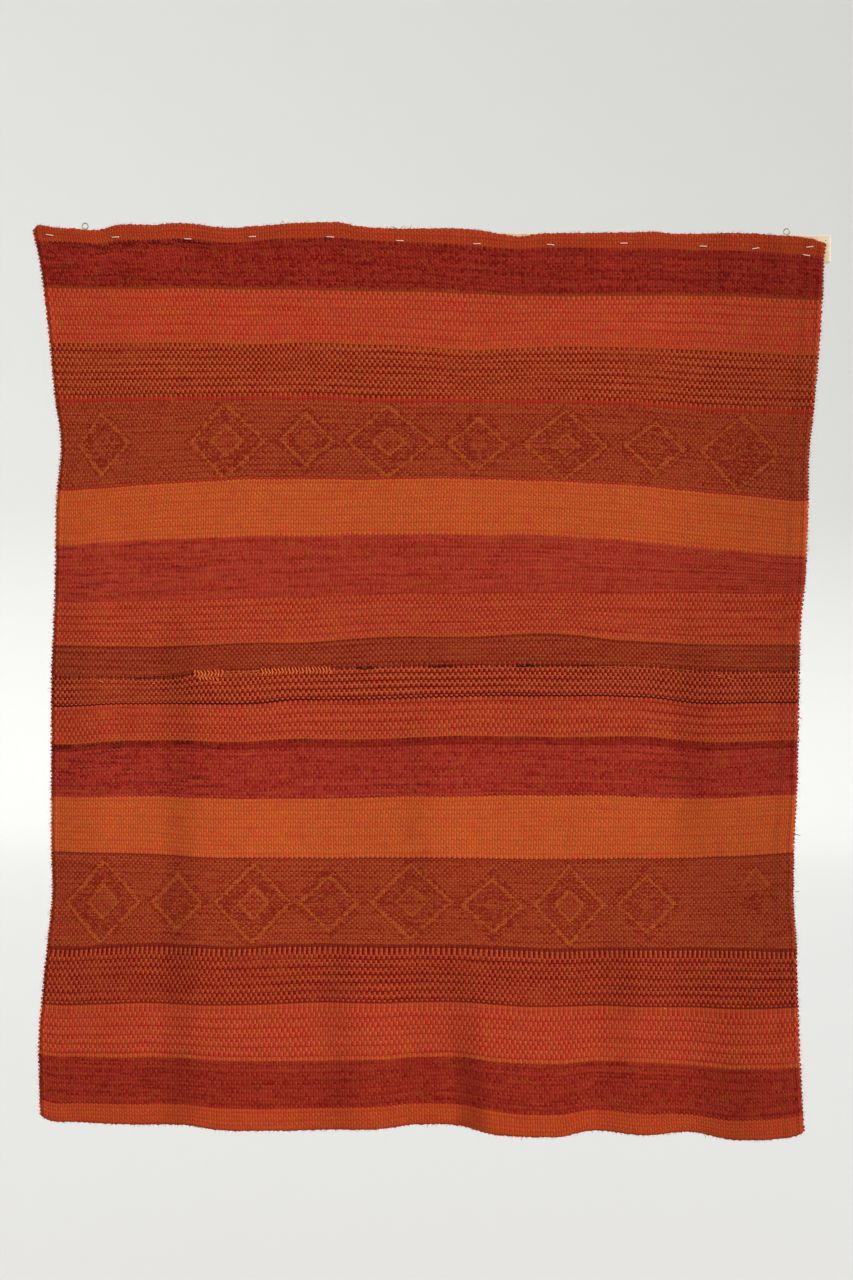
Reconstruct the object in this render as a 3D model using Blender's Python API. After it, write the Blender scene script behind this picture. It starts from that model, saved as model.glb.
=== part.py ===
"""Aguayo: a carrying cloth of two woven panels sewn edge to edge, stapled by its top to a hanging batten.

The cloth hangs nearly flat in the XZ plane and its face looks along -Y. The origin is the middle of the
batten's top face, +Z is up and +X runs to the viewer's right. Tables are in millimetres, and everything
that reaches Blender is in metres.
"""

import math

import bmesh
import bpy
import numpy as np
from mathutils import Matrix, Vector

MM = 0.001

# Sizes of the hard pieces, in millimetres
BATTEN_LENGTH = 1123.0
BATTEN_HEIGHT = 38.0
BATTEN_DEPTH = 19.0
BATTEN_EDGE_EASE = 1.5
EYE_SPREAD = 500.0
EYE_WIRE = 1.8
EYE_HOLE = 6.6
EYE_CENTRE_HEIGHT = 6.2
EYE_SHANK_DEPTH = 14.0
STAPLE_WIDTH = 10.6
STAPLE_WIRE_TALL = 1.2
STAPLE_WIRE_THICK = 0.7
STAPLE_LEG = 9.0
STAPLE_BEND = 0.9

# Sizes of the cloth, in millimetres
CLOTH_THICKNESS = 2.6
LOOM_END_BEAD = 3.4
LOOM_END_BEAD_AT = 4.0
LOOM_END_BEAD_REACH = 9.0
RIM_THICKNESS = 1.5
RIM_REACH = 3.0
UPPER_DROP = 624.0
LOWER_DROP = 656.0
CELL = 27.0
BULGE_CELLS = 3

# Clearances, in millimetres
TOUCH = 0.3
STAPLE_HOLE_EASE = 0.3

# Where the staples sit: across from the middle, height below the batten's top, lean in degrees
STAPLES = (
    # across, height, lean
    (-549.0, -8.7, -8.0),
    (-455.5, -11.1, 3.0),
    (-353.0, -12.7, -2.0),
    (-261.0, -8.9, 4.0),
    (-150.5, -8.3, -3.0),
    (-51.5, -13.0, 0.0),
    (58.0, -16.4, 2.0),
    (162.5, -16.9, -5.0),
    (267.0, -14.1, 1.0),
    (379.5, -17.5, -2.0),
    (454.0, -20.0, 10.0),
    (531.0, -17.2, 7.0),
    (526.0, -29.0, -8.0),
)
STAPLE_HALF_FLAT = 8.0
STAPLE_ROWS = (8.0, 26.0, 42.0, 64.0)
STAPLE_LINE_REACH = 26.0

# The cloth's outline as it hangs
TOP_EDGE = (
    # across, height
    (-574.0, -8.0),
    (-571.0, -1.0),
    (-565.0, 5.5),
    (-545.0, 2.5),
    (-511.0, 0.0),
    (-483.0, -1.5),
    (-454.0, 6.0),
    (-398.0, 6.5),
    (-369.0, 9.5),
    (-341.0, 8.0),
    (-296.0, 3.0),
    (-255.0, 6.0),
    (-199.0, 10.5),
    (-142.0, 12.5),
    (-112.0, 7.0),
    (-28.0, 4.0),
    (20.0, 5.0),
    (62.0, 2.5),
    (92.0, -2.5),
    (119.0, -6.0),
    (145.0, -2.2),
    (227.0, 0.0),
    (312.0, 2.0),
    (341.0, -0.5),
    (426.0, 1.5),
    (482.0, -1.0),
    (536.0, -6.5),
    (555.0, -13.0),
)
SEAM = (
    # across, height
    (-543.0, -637.0),
    (-470.0, -637.0),
    (-362.0, -635.0),
    (-328.0, -627.0),
    (-245.0, -623.0),
    (-130.0, -620.0),
    (-50.0, -617.0),
    (140.0, -614.0),
    (290.0, -614.0),
    (348.0, -618.5),
    (440.0, -620.5),
    (522.0, -620.0),
)
HEM = (
    # across, height
    (-555.0, -1258.0),
    (-552.0, -1261.0),
    (-541.0, -1267.0),
    (-500.0, -1269.5),
    (-416.0, -1272.5),
    (-350.0, -1271.5),
    (-298.0, -1278.0),
    (-215.0, -1279.0),
    (-130.0, -1277.0),
    (-62.0, -1275.0),
    (-18.0, -1269.0),
    (38.0, -1269.5),
    (95.0, -1280.5),
    (178.0, -1284.0),
    (237.0, -1275.0),
    (308.0, -1281.0),
    (365.0, -1276.0),
    (437.0, -1286.5),
    (492.0, -1285.0),
    (525.0, -1280.0),
    (532.0, -1276.0),
    (535.5, -1271.0),
)
SIDES = (
    # height, left, right
    (-1290.0, -554.0, 536.0),
    (-1245.0, -555.5, 533.0),
    (-1160.0, -557.5, 528.0),
    (-1075.0, -552.0, 524.0),
    (-1010.0, -545.5, 522.0),
    (-935.0, -539.5, 517.0),
    (-880.0, -541.5, 517.0),
    (-800.0, -542.0, 520.5),
    (-650.0, -543.0, 522.5),
    (-560.0, -540.5, 524.0),
    (-480.0, -538.5, 530.5),
    (-400.0, -538.5, 533.0),
    (-310.0, -531.5, 534.0),
    (-240.0, -540.5, 540.5),
    (-165.0, -548.5, 546.5),
    (-75.0, -559.5, 551.5),
    (-30.0, -567.0, 553.0),
    (-12.0, -572.0, 555.0),
    (6.0, -574.0, 555.0),
)

# How far the cloth's back stands in front of the batten's face as it hangs
HANG = (
    # height, forward
    (-1290.0, -5.0),
    (-700.0, -1.0),
    (-260.0, 1.8),
    (-90.0, 2.6),
    (-46.0, 2.4),
    (-38.0, 1.6),
    (-31.5, 0.5),
    (5.0, 0.5),
    (14.0, 1.6),
)
BETWEEN_STAPLES = 1.5
BETWEEN_STAPLES_REACH = 34.0
BETWEEN_STAPLES_FADE = 150.0

# The main folds: each rises to its crest from the left and falls away slowly to the right
FOLDS = (
    # crest at start, crest at end, start, full, fade, end, rise, fall, forward
    (-331.0, -325.0, -430.0, -640.0, -1300.0, -1400.0, 62.0, 205.0, 8.0),
    (-487.0, -480.0, -330.0, -560.0, -860.0, -1010.0, 70.0, 60.0, 4.0),
    (6.0, 2.0, -600.0, -730.0, -900.0, -1000.0, 55.0, 95.0, 3.5),
    (-111.0, -104.0, -930.0, -1080.0, -1300.0, -1400.0, 55.0, 90.0, 5.0),
    (60.0, 90.0, -960.0, -1270.0, -1300.0, -1400.0, 55.0, 150.0, 13.0),
    (298.0, 300.0, -880.0, -1080.0, -1300.0, -1400.0, 65.0, 60.0, 6.0),
    (397.0, 402.0, -500.0, -650.0, -760.0, -940.0, 60.0, 110.0, 6.0),
    (448.0, 462.0, -930.0, -1250.0, -1300.0, -1400.0, 90.0, 90.0, 8.0),
)

# Colours and finish of each material
WOOL_RUST = (0.300, 0.045, 0.018, 1.0)
WOOL_MADDER = (0.250, 0.036, 0.014, 1.0)
PINE = (0.760, 0.560, 0.330, 1.0)
STEEL = (0.640, 0.640, 0.620, 1.0)


def curve_through(rows, column):
    """A smooth curve through a table: its first column is the key, and column picks the value."""
    table = np.array(sorted(rows), dtype=float)
    keys = table[:, 0]
    values = table[:, column]
    rates = np.diff(values) / np.diff(keys)
    slopes = np.concatenate((rates[:1], (rates[:-1] + rates[1:]) / 2, rates[-1:]))
    turning = np.concatenate(([False], rates[:-1] * rates[1:] <= 0, [False]))
    slopes[turning] = 0.0

    def value_at(key):
        key = np.clip(key, keys[0], keys[-1])
        low = np.clip(np.searchsorted(keys, key) - 1, 0, len(keys) - 2)
        step = keys[low + 1] - keys[low]
        t = (key - keys[low]) / step
        from_values = (1 + 2 * t) * (1 - t) ** 2 * values[low] + t * t * (3 - 2 * t) * values[low + 1]
        from_slopes = t * (1 - t) ** 2 * slopes[low] - t * t * (1 - t) * slopes[low + 1]
        return from_values + step * from_slopes

    return value_at


top_at = curve_through(TOP_EDGE, 1)
seam_at = curve_through(SEAM, 1)
hem_at = curve_through(HEM, 1)
left_at = curve_through(SIDES, 1)
right_at = curve_through(SIDES, 2)
hang_at = curve_through(HANG, 1)


def ease(t):
    """0 below 0, 1 above 1, and a smooth step between them."""
    t = np.clip(t, 0.0, 1.0)
    return t * t * (3 - 2 * t)


def fold_forward(across, height):
    """How far all the folds together bring the cloth forward."""
    forward = np.zeros_like(across)
    for crest_top, crest_end, start, full, fade, end, rise, fall, depth in FOLDS:
        along = np.clip((height - start) / (HEM[0][1] - start), 0.0, 1.0)
        from_crest = across - (crest_top + (crest_end - crest_top) * along)
        width = np.where(from_crest < 0, rise, fall)
        profile = ease(1 - np.abs(from_crest) / width)
        strength = ease((height - start) / (full - start)) * ease((height - end) / (fade - end))
        forward += depth * strength * profile
    return forward


def staple_slack(across, height):
    """How far the cloth bulges off the batten between its staples, fading out below."""
    nearest = np.min([np.abs(across - staple[0]) for staple in STAPLES], axis=0)
    bulge = ease((nearest - STAPLE_HALF_FLAT) / BETWEEN_STAPLES_REACH)
    return BETWEEN_STAPLES * bulge * ease(1 + height / BETWEEN_STAPLES_FADE)


def cloth_back(across, height):
    """Y of the cloth's back face."""
    forward = hang_at(height) + staple_slack(across, height) + fold_forward(across, height)
    return -BATTEN_DEPTH / 2 - forward


def cloth_thickness(from_side, from_rim):
    """Thickness of the cloth: a bead at the loom ends, and a thinner rounded rim."""
    bead = ease(1 - np.abs(from_side - LOOM_END_BEAD_AT) / (LOOM_END_BEAD_REACH - LOOM_END_BEAD_AT))
    full = CLOTH_THICKNESS + (LOOM_END_BEAD - CLOTH_THICKNESS) * bead
    edge = ease(np.minimum(from_side, from_rim) / RIM_REACH)
    return RIM_THICKNESS + (full - RIM_THICKNESS) * edge


def column_fractions():
    """Fractions across the cloth: flat under each staple, with even cells between staples."""
    left = TOP_EDGE[0][0]
    right = TOP_EDGE[-1][0]
    stops = [left, left + LOOM_END_BEAD_AT, right - LOOM_END_BEAD_AT, right]
    stations = sorted(staple[0] for staple in STAPLES if staple[1] > -STAPLE_LINE_REACH)
    for station in stations:
        stops += [station - STAPLE_HALF_FLAT, station + STAPLE_HALF_FLAT]
    for before, after in zip(stations, stations[1:]):
        first = before + STAPLE_HALF_FLAT
        span = after - STAPLE_HALF_FLAT - first
        stops += [first + span * step / BULGE_CELLS for step in range(1, BULGE_CELLS)]
    return (np.array(sorted(stops)) - left) / (right - left)


def row_distances(length, first_rows, last_rows):
    """Distances below a panel's upper edge: close rows at its ends and even cells between."""
    start = first_rows[-1]
    span = length - last_rows[0] - start
    count = round(span / CELL)
    middle = [start + span * step / count for step in range(1, count)]
    return list(first_rows) + middle + [length - back for back in last_rows]


def place(across_fraction, down_fraction, upper, lower):
    """Across and height of a point of a panel that lies between two edge curves."""
    across = -BATTEN_LENGTH / 2 + BATTEN_LENGTH * across_fraction
    height = upper(across)
    for _ in range(8):
        across = left_at(height) + (right_at(height) - left_at(height)) * across_fraction
        height = upper(across) + (lower(across) - upper(across)) * down_fraction
    return across, height


def panel_mesh(name, upper, lower, rows):
    """A panel as one closed sheet: a grid in front, a grid behind and a rim that joins them."""
    columns = column_fractions()
    length = rows[-1]
    down, sideways = np.meshgrid(np.array(rows) / length, columns, indexing="ij")
    across, height = place(sideways, down, upper, lower)
    from_side = np.minimum(across - left_at(height), right_at(height) - across)
    from_rim = np.minimum(down, 1 - down) * length
    back = cloth_back(across, height)
    front = back - cloth_thickness(from_side, from_rim)

    mesh_maker = bmesh.new()
    row_count, column_count = across.shape

    def grid_of(depth):
        return [
            [
                mesh_maker.verts.new((across[r, c] * MM, depth[r, c] * MM, height[r, c] * MM))
                for c in range(column_count)
            ]
            for r in range(row_count)
        ]

    front_grid = grid_of(front)
    back_grid = grid_of(back)
    for r in range(row_count - 1):
        for c in range(column_count - 1):
            for grid, step in ((front_grid, 1), (back_grid, -1)):
                corners = [grid[r][c], grid[r + 1][c], grid[r + 1][c + 1], grid[r][c + 1]]
                mesh_maker.faces.new(corners[::step])

    last_row = row_count - 1
    last_column = column_count - 1
    loop = [(0, c) for c in range(last_column)]
    loop += [(r, last_column) for r in range(last_row)]
    loop += [(last_row, c) for c in range(last_column, 0, -1)]
    loop += [(r, 0) for r in range(last_row, 0, -1)]
    for (r, c), (next_r, next_c) in zip(loop, loop[1:] + loop[:1]):
        corners = (front_grid[r][c], front_grid[next_r][next_c], back_grid[next_r][next_c], back_grid[r][c])
        mesh_maker.faces.new(corners)
    bmesh.ops.recalc_face_normals(mesh_maker, faces=mesh_maker.faces)
    return finish_mesh(mesh_maker, name)


def finish_mesh(mesh_maker, name):
    """Turn a bmesh into a smooth-shaded mesh with its sharp edges kept."""
    mesh = bpy.data.meshes.new(name)
    mesh_maker.to_mesh(mesh)
    mesh_maker.free()
    mesh.shade_smooth()
    mesh.set_sharp_from_angle(angle=math.radians(40))
    return mesh


def material(name, colour, roughness, metallic=0.0):
    """A plain material with its colour, roughness and metal."""
    made = bpy.data.materials.new(name)
    made.use_nodes = True
    shader = made.node_tree.nodes["Principled BSDF"]
    shader.inputs["Base Color"].default_value = colour
    shader.inputs["Roughness"].default_value = roughness
    shader.inputs["Metallic"].default_value = metallic
    return made


def add_object(name, mesh, parent, finish=None, location=(0, 0, 0), rotation=(0, 0, 0)):
    """An object placed under the parent empty."""
    made = bpy.data.objects.new(name, mesh)
    bpy.context.scene.collection.objects.link(made)
    made.parent = parent
    made.location = location
    made.rotation_euler = rotation
    if finish:
        mesh.materials.append(finish)
    return made


def add_cutter(name, mesh, parent):
    """An object that only cuts others."""
    cutter = add_object(name, mesh, parent)
    cutter.hide_render = True
    cutter.display_type = "WIRE"
    return cutter


def cut(target, cutter):
    """Cut one object by another."""
    boolean = target.modifiers.new("Cut", "BOOLEAN")
    boolean.operation = "DIFFERENCE"
    boolean.solver = "EXACT"
    boolean.object = cutter


def staple_depths():
    """Y of each staple crown's back face, a touch in front of the cloth that it holds."""
    across = np.array([staple[0] for staple in STAPLES])
    height = np.array([staple[1] for staple in STAPLES])
    reach = STAPLE_WIDTH / 2
    fronts = [cloth_back(across + side * reach, height) - CLOTH_THICKNESS for side in (-1, 0, 1)]
    return np.min(fronts, axis=0) - TOUCH


def staple_mesh():
    """A wire staple: a crown along X in front and two legs along +Y, with small bends."""
    half = STAPLE_WIDTH / 2 - STAPLE_WIRE_THICK / 2
    turn = [math.radians(angle) for angle in (0, 30, 60, 90)]
    right = [(half - STAPLE_BEND + STAPLE_BEND * math.sin(a), STAPLE_BEND * (1 - math.cos(a))) for a in turn]
    path = right + [(half, STAPLE_LEG)]
    path = [(-x, y) for x, y in reversed(path)] + path
    mesh_maker = bmesh.new()
    rings = []
    for index, (x, y) in enumerate(path):
        before = Vector(path[max(index - 1, 0)])
        after = Vector(path[min(index + 1, len(path) - 1)])
        along = (after - before).normalized()
        outward = Vector((along.y, -along.x)) * STAPLE_WIRE_THICK / 2
        ring = []
        for side, up in ((1, 1), (1, -1), (-1, -1), (-1, 1)):
            spot = Vector((x, y)) + outward * side
            ring.append(mesh_maker.verts.new((spot.x * MM, spot.y * MM, up * STAPLE_WIRE_TALL / 2 * MM)))
        rings.append(ring)
    for ring, following in zip(rings, rings[1:]):
        for side in range(4):
            other = (side + 1) % 4
            mesh_maker.faces.new((ring[side], ring[other], following[other], following[side]))
    mesh_maker.faces.new(rings[0][::-1])
    mesh_maker.faces.new(rings[-1])
    bmesh.ops.recalc_face_normals(mesh_maker, faces=mesh_maker.faces)
    return finish_mesh(mesh_maker, "staple")


def staple_holes_mesh(depths):
    """Square holes for every staple leg, through the cloth and into the batten."""
    mesh_maker = bmesh.new()
    leg_at = STAPLE_WIDTH / 2 - STAPLE_WIRE_THICK / 2
    wide = STAPLE_WIRE_THICK + 2 * STAPLE_HOLE_EASE
    tall = STAPLE_WIRE_TALL + 2 * STAPLE_HOLE_EASE
    start_margin = 4.0
    for (across, height, lean), depth in zip(STAPLES, depths):
        stop = depth - STAPLE_WIRE_THICK / 2 + STAPLE_LEG + TOUCH
        start = depth - start_margin
        for side in (-1, 1):
            angle = math.radians(lean)
            centre = Vector((
                across + side * leg_at * math.cos(angle),
                (start + stop) / 2,
                height + side * leg_at * math.sin(angle),
            )) * MM
            size = Matrix.Diagonal((wide * MM, (stop - start) * MM, tall * MM, 1))
            turn = Matrix.Rotation(-angle, 4, "Y")
            bmesh.ops.create_cube(mesh_maker, size=1, matrix=Matrix.Translation(centre) @ turn @ size)
    return finish_mesh(mesh_maker, "staple_holes")


def batten_mesh():
    """The batten as a plain bar whose top face lies at height 0."""
    mesh_maker = bmesh.new()
    size = Matrix.Diagonal((BATTEN_LENGTH * MM, BATTEN_DEPTH * MM, BATTEN_HEIGHT * MM, 1))
    centre = Matrix.Translation((0, 0, -BATTEN_HEIGHT / 2 * MM))
    bmesh.ops.create_cube(mesh_maker, size=1, matrix=centre @ size)
    return finish_mesh(mesh_maker, "batten")


def round_bar(mesh_maker, radius, bottom, top, sides, across=0.0):
    """A closed upright round bar in millimetres."""
    centre = Matrix.Translation(Vector((across, 0, (bottom + top) / 2)) * MM)
    bmesh.ops.create_cone(
        mesh_maker,
        cap_ends=True,
        segments=sides,
        radius1=radius * MM,
        radius2=radius * MM,
        depth=(top - bottom) * MM,
        matrix=centre,
    )


def eye_ring_mesh():
    """The ring of a screw eye, standing in the XZ plane."""
    around = 20
    wire_sides = 8
    ring_radius = EYE_HOLE / 2 + EYE_WIRE / 2
    mesh_maker = bmesh.new()
    rings = []
    for step in range(around):
        angle = 2 * math.pi * step / around
        outward = Vector((math.cos(angle), 0, math.sin(angle)))
        ring = []
        for side in range(wire_sides):
            wire_angle = 2 * math.pi * side / wire_sides
            spot = outward * (ring_radius + EYE_WIRE / 2 * math.cos(wire_angle))
            spot += Vector((0, EYE_WIRE / 2 * math.sin(wire_angle), EYE_CENTRE_HEIGHT))
            ring.append(mesh_maker.verts.new(spot * MM))
        rings.append(ring)
    for ring, following in zip(rings, rings[1:] + rings[:1]):
        for side in range(wire_sides):
            other = (side + 1) % wire_sides
            mesh_maker.faces.new((ring[side], ring[other], following[other], following[side]))
    bmesh.ops.recalc_face_normals(mesh_maker, faces=mesh_maker.faces)
    return finish_mesh(mesh_maker, "screw_eye")


def eye_shank_mesh():
    """The shank of a screw eye, from the ring's wire down into the batten."""
    mesh_maker = bmesh.new()
    ring_wire_at = EYE_CENTRE_HEIGHT - EYE_HOLE / 2 - EYE_WIRE / 2
    round_bar(mesh_maker, EYE_WIRE / 2, -EYE_SHANK_DEPTH, ring_wire_at, 10)
    return finish_mesh(mesh_maker, "eye_shank")


def eye_holes_mesh():
    """The two round holes in the batten's top for the screw eyes."""
    mesh_maker = bmesh.new()
    hole_margin = 2.0
    for side in (-1, 1):
        radius = EYE_WIRE / 2 + TOUCH
        round_bar(mesh_maker, radius, -EYE_SHANK_DEPTH - TOUCH, hole_margin, 10, side * EYE_SPREAD)
    return finish_mesh(mesh_maker, "eye_holes")


def build_batten(parent, pine, staple_holes):
    """The wooden batten with eased edges, staple holes and screw holes."""
    batten = add_object("batten", batten_mesh(), parent, pine)
    bevel = batten.modifiers.new("Eased edges", "BEVEL")
    bevel.width = BATTEN_EDGE_EASE * MM
    bevel.segments = 2
    eye_holes = add_cutter("cut_eye_holes", eye_holes_mesh(), parent)
    cut(batten, staple_holes)
    cut(batten, eye_holes)


def build_panels(parent, upper_wool, lower_wool, staple_holes):
    """The two woven panels, which meet edge to edge at the seam."""
    upper_rows = row_distances(UPPER_DROP, (0.0, RIM_REACH) + STAPLE_ROWS, (RIM_REACH, 0.0))
    lower_rows = row_distances(LOWER_DROP, (0.0, RIM_REACH), (RIM_REACH, 0.0))
    upper_mesh = panel_mesh("upper_panel", top_at, lambda across: seam_at(across) + TOUCH / 2, upper_rows)
    lower_mesh = panel_mesh("lower_panel", lambda across: seam_at(across) - TOUCH / 2, hem_at, lower_rows)
    upper = add_object("upper_panel", upper_mesh, parent, upper_wool)
    add_object("lower_panel", lower_mesh, parent, lower_wool)
    cut(upper, staple_holes)


def build_staples(parent, steel, depths):
    """A staple at each place along the top, its crown lying across the cloth."""
    mesh = staple_mesh()
    mesh.materials.append(steel)
    for number, ((across, height, lean), depth) in enumerate(zip(STAPLES, depths), start=1):
        add_object(
            f"staple_{number:02d}",
            mesh,
            parent,
            location=Vector((across, depth - STAPLE_WIRE_THICK / 2, height)) * MM,
            rotation=(0, -math.radians(lean), 0),
        )


def build_eyes(parent, steel):
    """A screw eye near each end of the batten's top."""
    ring = eye_ring_mesh()
    ring.materials.append(steel)
    shank_mesh = eye_shank_mesh()
    for name, side in (("screw_eye_left", -1), ("screw_eye_right", 1)):
        spot = (side * EYE_SPREAD * MM, 0, 0)
        shank = add_cutter(f"cut_shank_{name}", shank_mesh, parent)
        shank.location = spot
        eye = add_object(name, ring, parent, location=spot)
        join = eye.modifiers.new("Shank", "BOOLEAN")
        join.operation = "UNION"
        join.solver = "EXACT"
        join.object = shank


def main():
    for old in list(bpy.data.objects):
        bpy.data.objects.remove(old, do_unlink=True)
    hanging = bpy.data.objects.new("hanging", None)
    bpy.context.scene.collection.objects.link(hanging)

    upper_wool = material("wool_upper_panel", WOOL_RUST, 0.95)
    lower_wool = material("wool_lower_panel", WOOL_MADDER, 0.95)
    pine = material("pine", PINE, 0.7)
    staple_steel = material("staple_steel", STEEL, 0.35, metallic=1.0)
    eye_steel = material("eye_steel", STEEL, 0.3, metallic=1.0)

    depths = staple_depths()
    staple_holes = add_cutter("cut_staple_holes", staple_holes_mesh(depths), hanging)
    build_batten(hanging, pine, staple_holes)
    build_panels(hanging, upper_wool, lower_wool, staple_holes)
    build_staples(hanging, staple_steel, depths)
    build_eyes(hanging, eye_steel)


main()
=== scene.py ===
"""Looks for the aguayo: two woven wool panels sewn edge to edge, stapled to a pine hanging batten.

The cloth is built from its weave. U counts the wefts across the cloth and V counts the warps down a panel,
so one step of U and one of V is one float of the weave, in the mesh and in the material alike. Tables are in
millimetres in the row frame, and everything that reaches Blender is in metres.
"""

import math
from functools import partialmethod, reduce

import bpy
import numpy as np
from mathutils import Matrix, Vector


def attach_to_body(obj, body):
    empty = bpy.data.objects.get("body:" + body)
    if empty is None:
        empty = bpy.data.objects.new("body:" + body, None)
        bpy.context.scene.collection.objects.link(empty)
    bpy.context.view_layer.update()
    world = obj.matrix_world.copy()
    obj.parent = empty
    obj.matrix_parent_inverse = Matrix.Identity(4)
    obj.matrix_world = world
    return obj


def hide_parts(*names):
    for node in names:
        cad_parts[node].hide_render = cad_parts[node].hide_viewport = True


MM = 0.001

# The frame of the photograph, and how it was taken
PHOTO_WIDTH = 853.0
PHOTO_HEIGHT = 1280.0
MM_PER_PIXEL = 1.42
ORIGIN_PIXEL = (436.0, 231.7)
CAMERA_ROLL = 0.0078
LENS = 70.0
SENSOR = 36.0

# The studio, in metres, and its light: the key's place is in degrees to the right of the cloth's face and up
STUDIO_HALF_WIDTH = 12.0
STUDIO_CORNER = 5.0
STUDIO_BEND = 2.0
FLOOR = -1.75
WALL_TOP = 3.6
PAPER_COLOUR = (0.74, 0.74, 0.725, 1.0)
AIR_STRENGTH = 0.32
KEY_STRENGTH = 4.08
KEY_SOFTNESS = 12.0
KEY_SIDE = 66.0
KEY_ABOVE = 33.0
CORNER_STEPS = 8
BEND_STEPS = 12

# Sizes of the cloth, as its solids have them
BATTEN_LENGTH = 1123.0
BATTEN_DEPTH = 19.0
CLOTH_THICKNESS = 2.6
LOOM_END_BEAD = 3.4
LOOM_END_BEAD_AT = 4.0
LOOM_END_BEAD_REACH = 9.0
RIM_THICKNESS = 1.5
RIM_REACH = 3.0
RIM_BULGE = 0.4
RIM_WAVE = 1.1
SEAM_THICKNESS = 2.2
SEAM_REACH = 1.6
SEAM_BULGE = 0.2
TOUCH = 0.3

# Sizes of the weave, and of the warps that turn back in loops at the loom ends
WARP_PITCH = 2.65
WEFTS = 304
WEFT_CROWDING = 0.055
RIB_HEIGHT = 0.08
POINTS_PER_WEFT = 2
WARPS_PER_ROW = 3.4
LOOP_RADIUS = 1.0
LOOP_TURN = 1.7
LOOP_REACH = LOOP_RADIUS + LOOP_TURN
LOOP_ROOT_WEFTS = 1.1
LOOP_POINTS = 7
LOOP_REACH_SPREAD = (-0.7, 0.5)
LOOP_DEPTH_SPREAD = 0.25
LOOP_RADIUS_SPREAD = (0.88, 1.1)
LOOP_MAP_WEFTS = 1.5
FLAT_UPPER = (1.13, 0.64)
FLAT_LOWER = (1.09, 0.66)

# Rounds that it takes to find the place of a float, and the float at a place
PLACE_ROUNDS = 8
WEAVE_ROUNDS = 6

# Fibres that stand out of the edges. Angles are in degrees.
FIBRE_RADIUS = 0.11
FIBRES_PER_PANEL = 1500
FIBRE_LENGTHS = (1.5, 5.0)
FIBRE_LEAN = 42.0
FIBRE_BEND = 50.0
FIBRE_FORWARD = 0.5
FIBRE_TAPER = np.array((1.2, 1.0, 0.8, 0.3))

# Every stitch's shape, and the stitches over the seam, which look like the last warps of the upper panel
STITCH_POINTS = 7
STITCH_DEPTH = 1.0
STITCH_ROUNDNESS = 0.6
STITCH_FROM_SIDE = 3
STITCH_PITCH = 4.6
STITCH_PITCH_SPREAD = 0.5
STITCH_RADIUS = 0.55
STITCH_HALF_HEIGHT = 2.4
STITCH_LEAN = 1.3
STITCH_LEAN_SPREAD = 0.4
STITCH_SHORTER_LEAN = 0.6
STITCH_LOOK_WARPS = 1.5

# The stitches of the mends
MEND_RADIUS = 1.15
MEND_PITCH = 4.8
MEND_HALF_HEIGHT = 2.6
MEND_LEAN = 1.2
MEND_LEAN_SPREAD = 0.9
MEND_ROW_SPREAD = 0.5
MEND_PITCH_SPREAD = 0.35
MEND_RADIUS_SPREAD = (0.8, 1.1)

# Threads along the seam, which waver up and down and dip into the cloth
THREAD_STEP = 2.2
THREAD_LEAST_STEPS = 8
THREAD_WAVER = 0.25
THREAD_WAVER_BY_RADIUS = 0.45
THREAD_LIFT = 0.35
THREAD_DIP = 0.5
THREAD_DIP_RATE = 1.7
THREAD_DIP_STARTS = (0.0, 6.0)
THREAD_RADIUS_SPREAD = (0.5, 1.15)

# Loose ends, which leave the cloth forwards, curl, and come back a little
LOOSE_BEND = 70.0
LOOSE_CURL = 1.5
LOOSE_FORWARD = 0.45
LOOSE_BACK = 0.125
LOOSE_RINGS_TOWARDS = (0.2, 1, 0.1)
LOOSE_TAPER = np.array((1.0, 1.0, 1.0, 0.95, 0.9, 0.8, 0.6, 0.3))

# Where the staples hold the cloth, across from its middle, and a nail's mark in the batten beside it
STAPLES = (-549, -455.5, -353, -261, -150.5, -51.5, 58, 162.5, 267, 379.5, 454, 531, 526)
STAPLE_HALF_FLAT = 8.0
NAIL_MARK = (554.6, -7.5)
NAIL_MARK_RADIUS = 0.9

# The cloth's outline as it hangs
TOP_EDGE = (
    # across, height
    (-574, -8), (-571, -1), (-565, 5.5), (-545, 2.5), (-511, 0), (-483, -1.5), (-454, 6),
    (-398, 6.5), (-369, 9.5), (-341, 8), (-296, 3), (-255, 6), (-199, 10.5), (-142, 12.5),
    (-112, 7), (-28, 4), (20, 5), (62, 2.5), (92, -2.5), (119, -6), (145, -2.2), (227, 0), (312, 2),
    (341, -0.5), (426, 1.5), (482, -1), (536, -6.5), (555, -13),
)
SEAM = (
    # across, height
    (-543, -637), (-470, -637), (-362, -635), (-328, -627), (-245, -623), (-130, -620), (-50, -617),
    (140, -614), (290, -614), (348, -618.5), (440, -620.5), (522, -620),
)
HEM = (
    # across, height
    (-555, -1258), (-552, -1261), (-541, -1267), (-500, -1269.5), (-416, -1272.5), (-350, -1271.5),
    (-298, -1278), (-215, -1279), (-130, -1277), (-62, -1275), (-18, -1269), (38, -1269.5),
    (95, -1280.5), (178, -1284), (237, -1275), (308, -1281), (365, -1276), (437, -1286.5),
    (492, -1285), (525, -1280), (532, -1276), (535.5, -1271),
)
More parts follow.
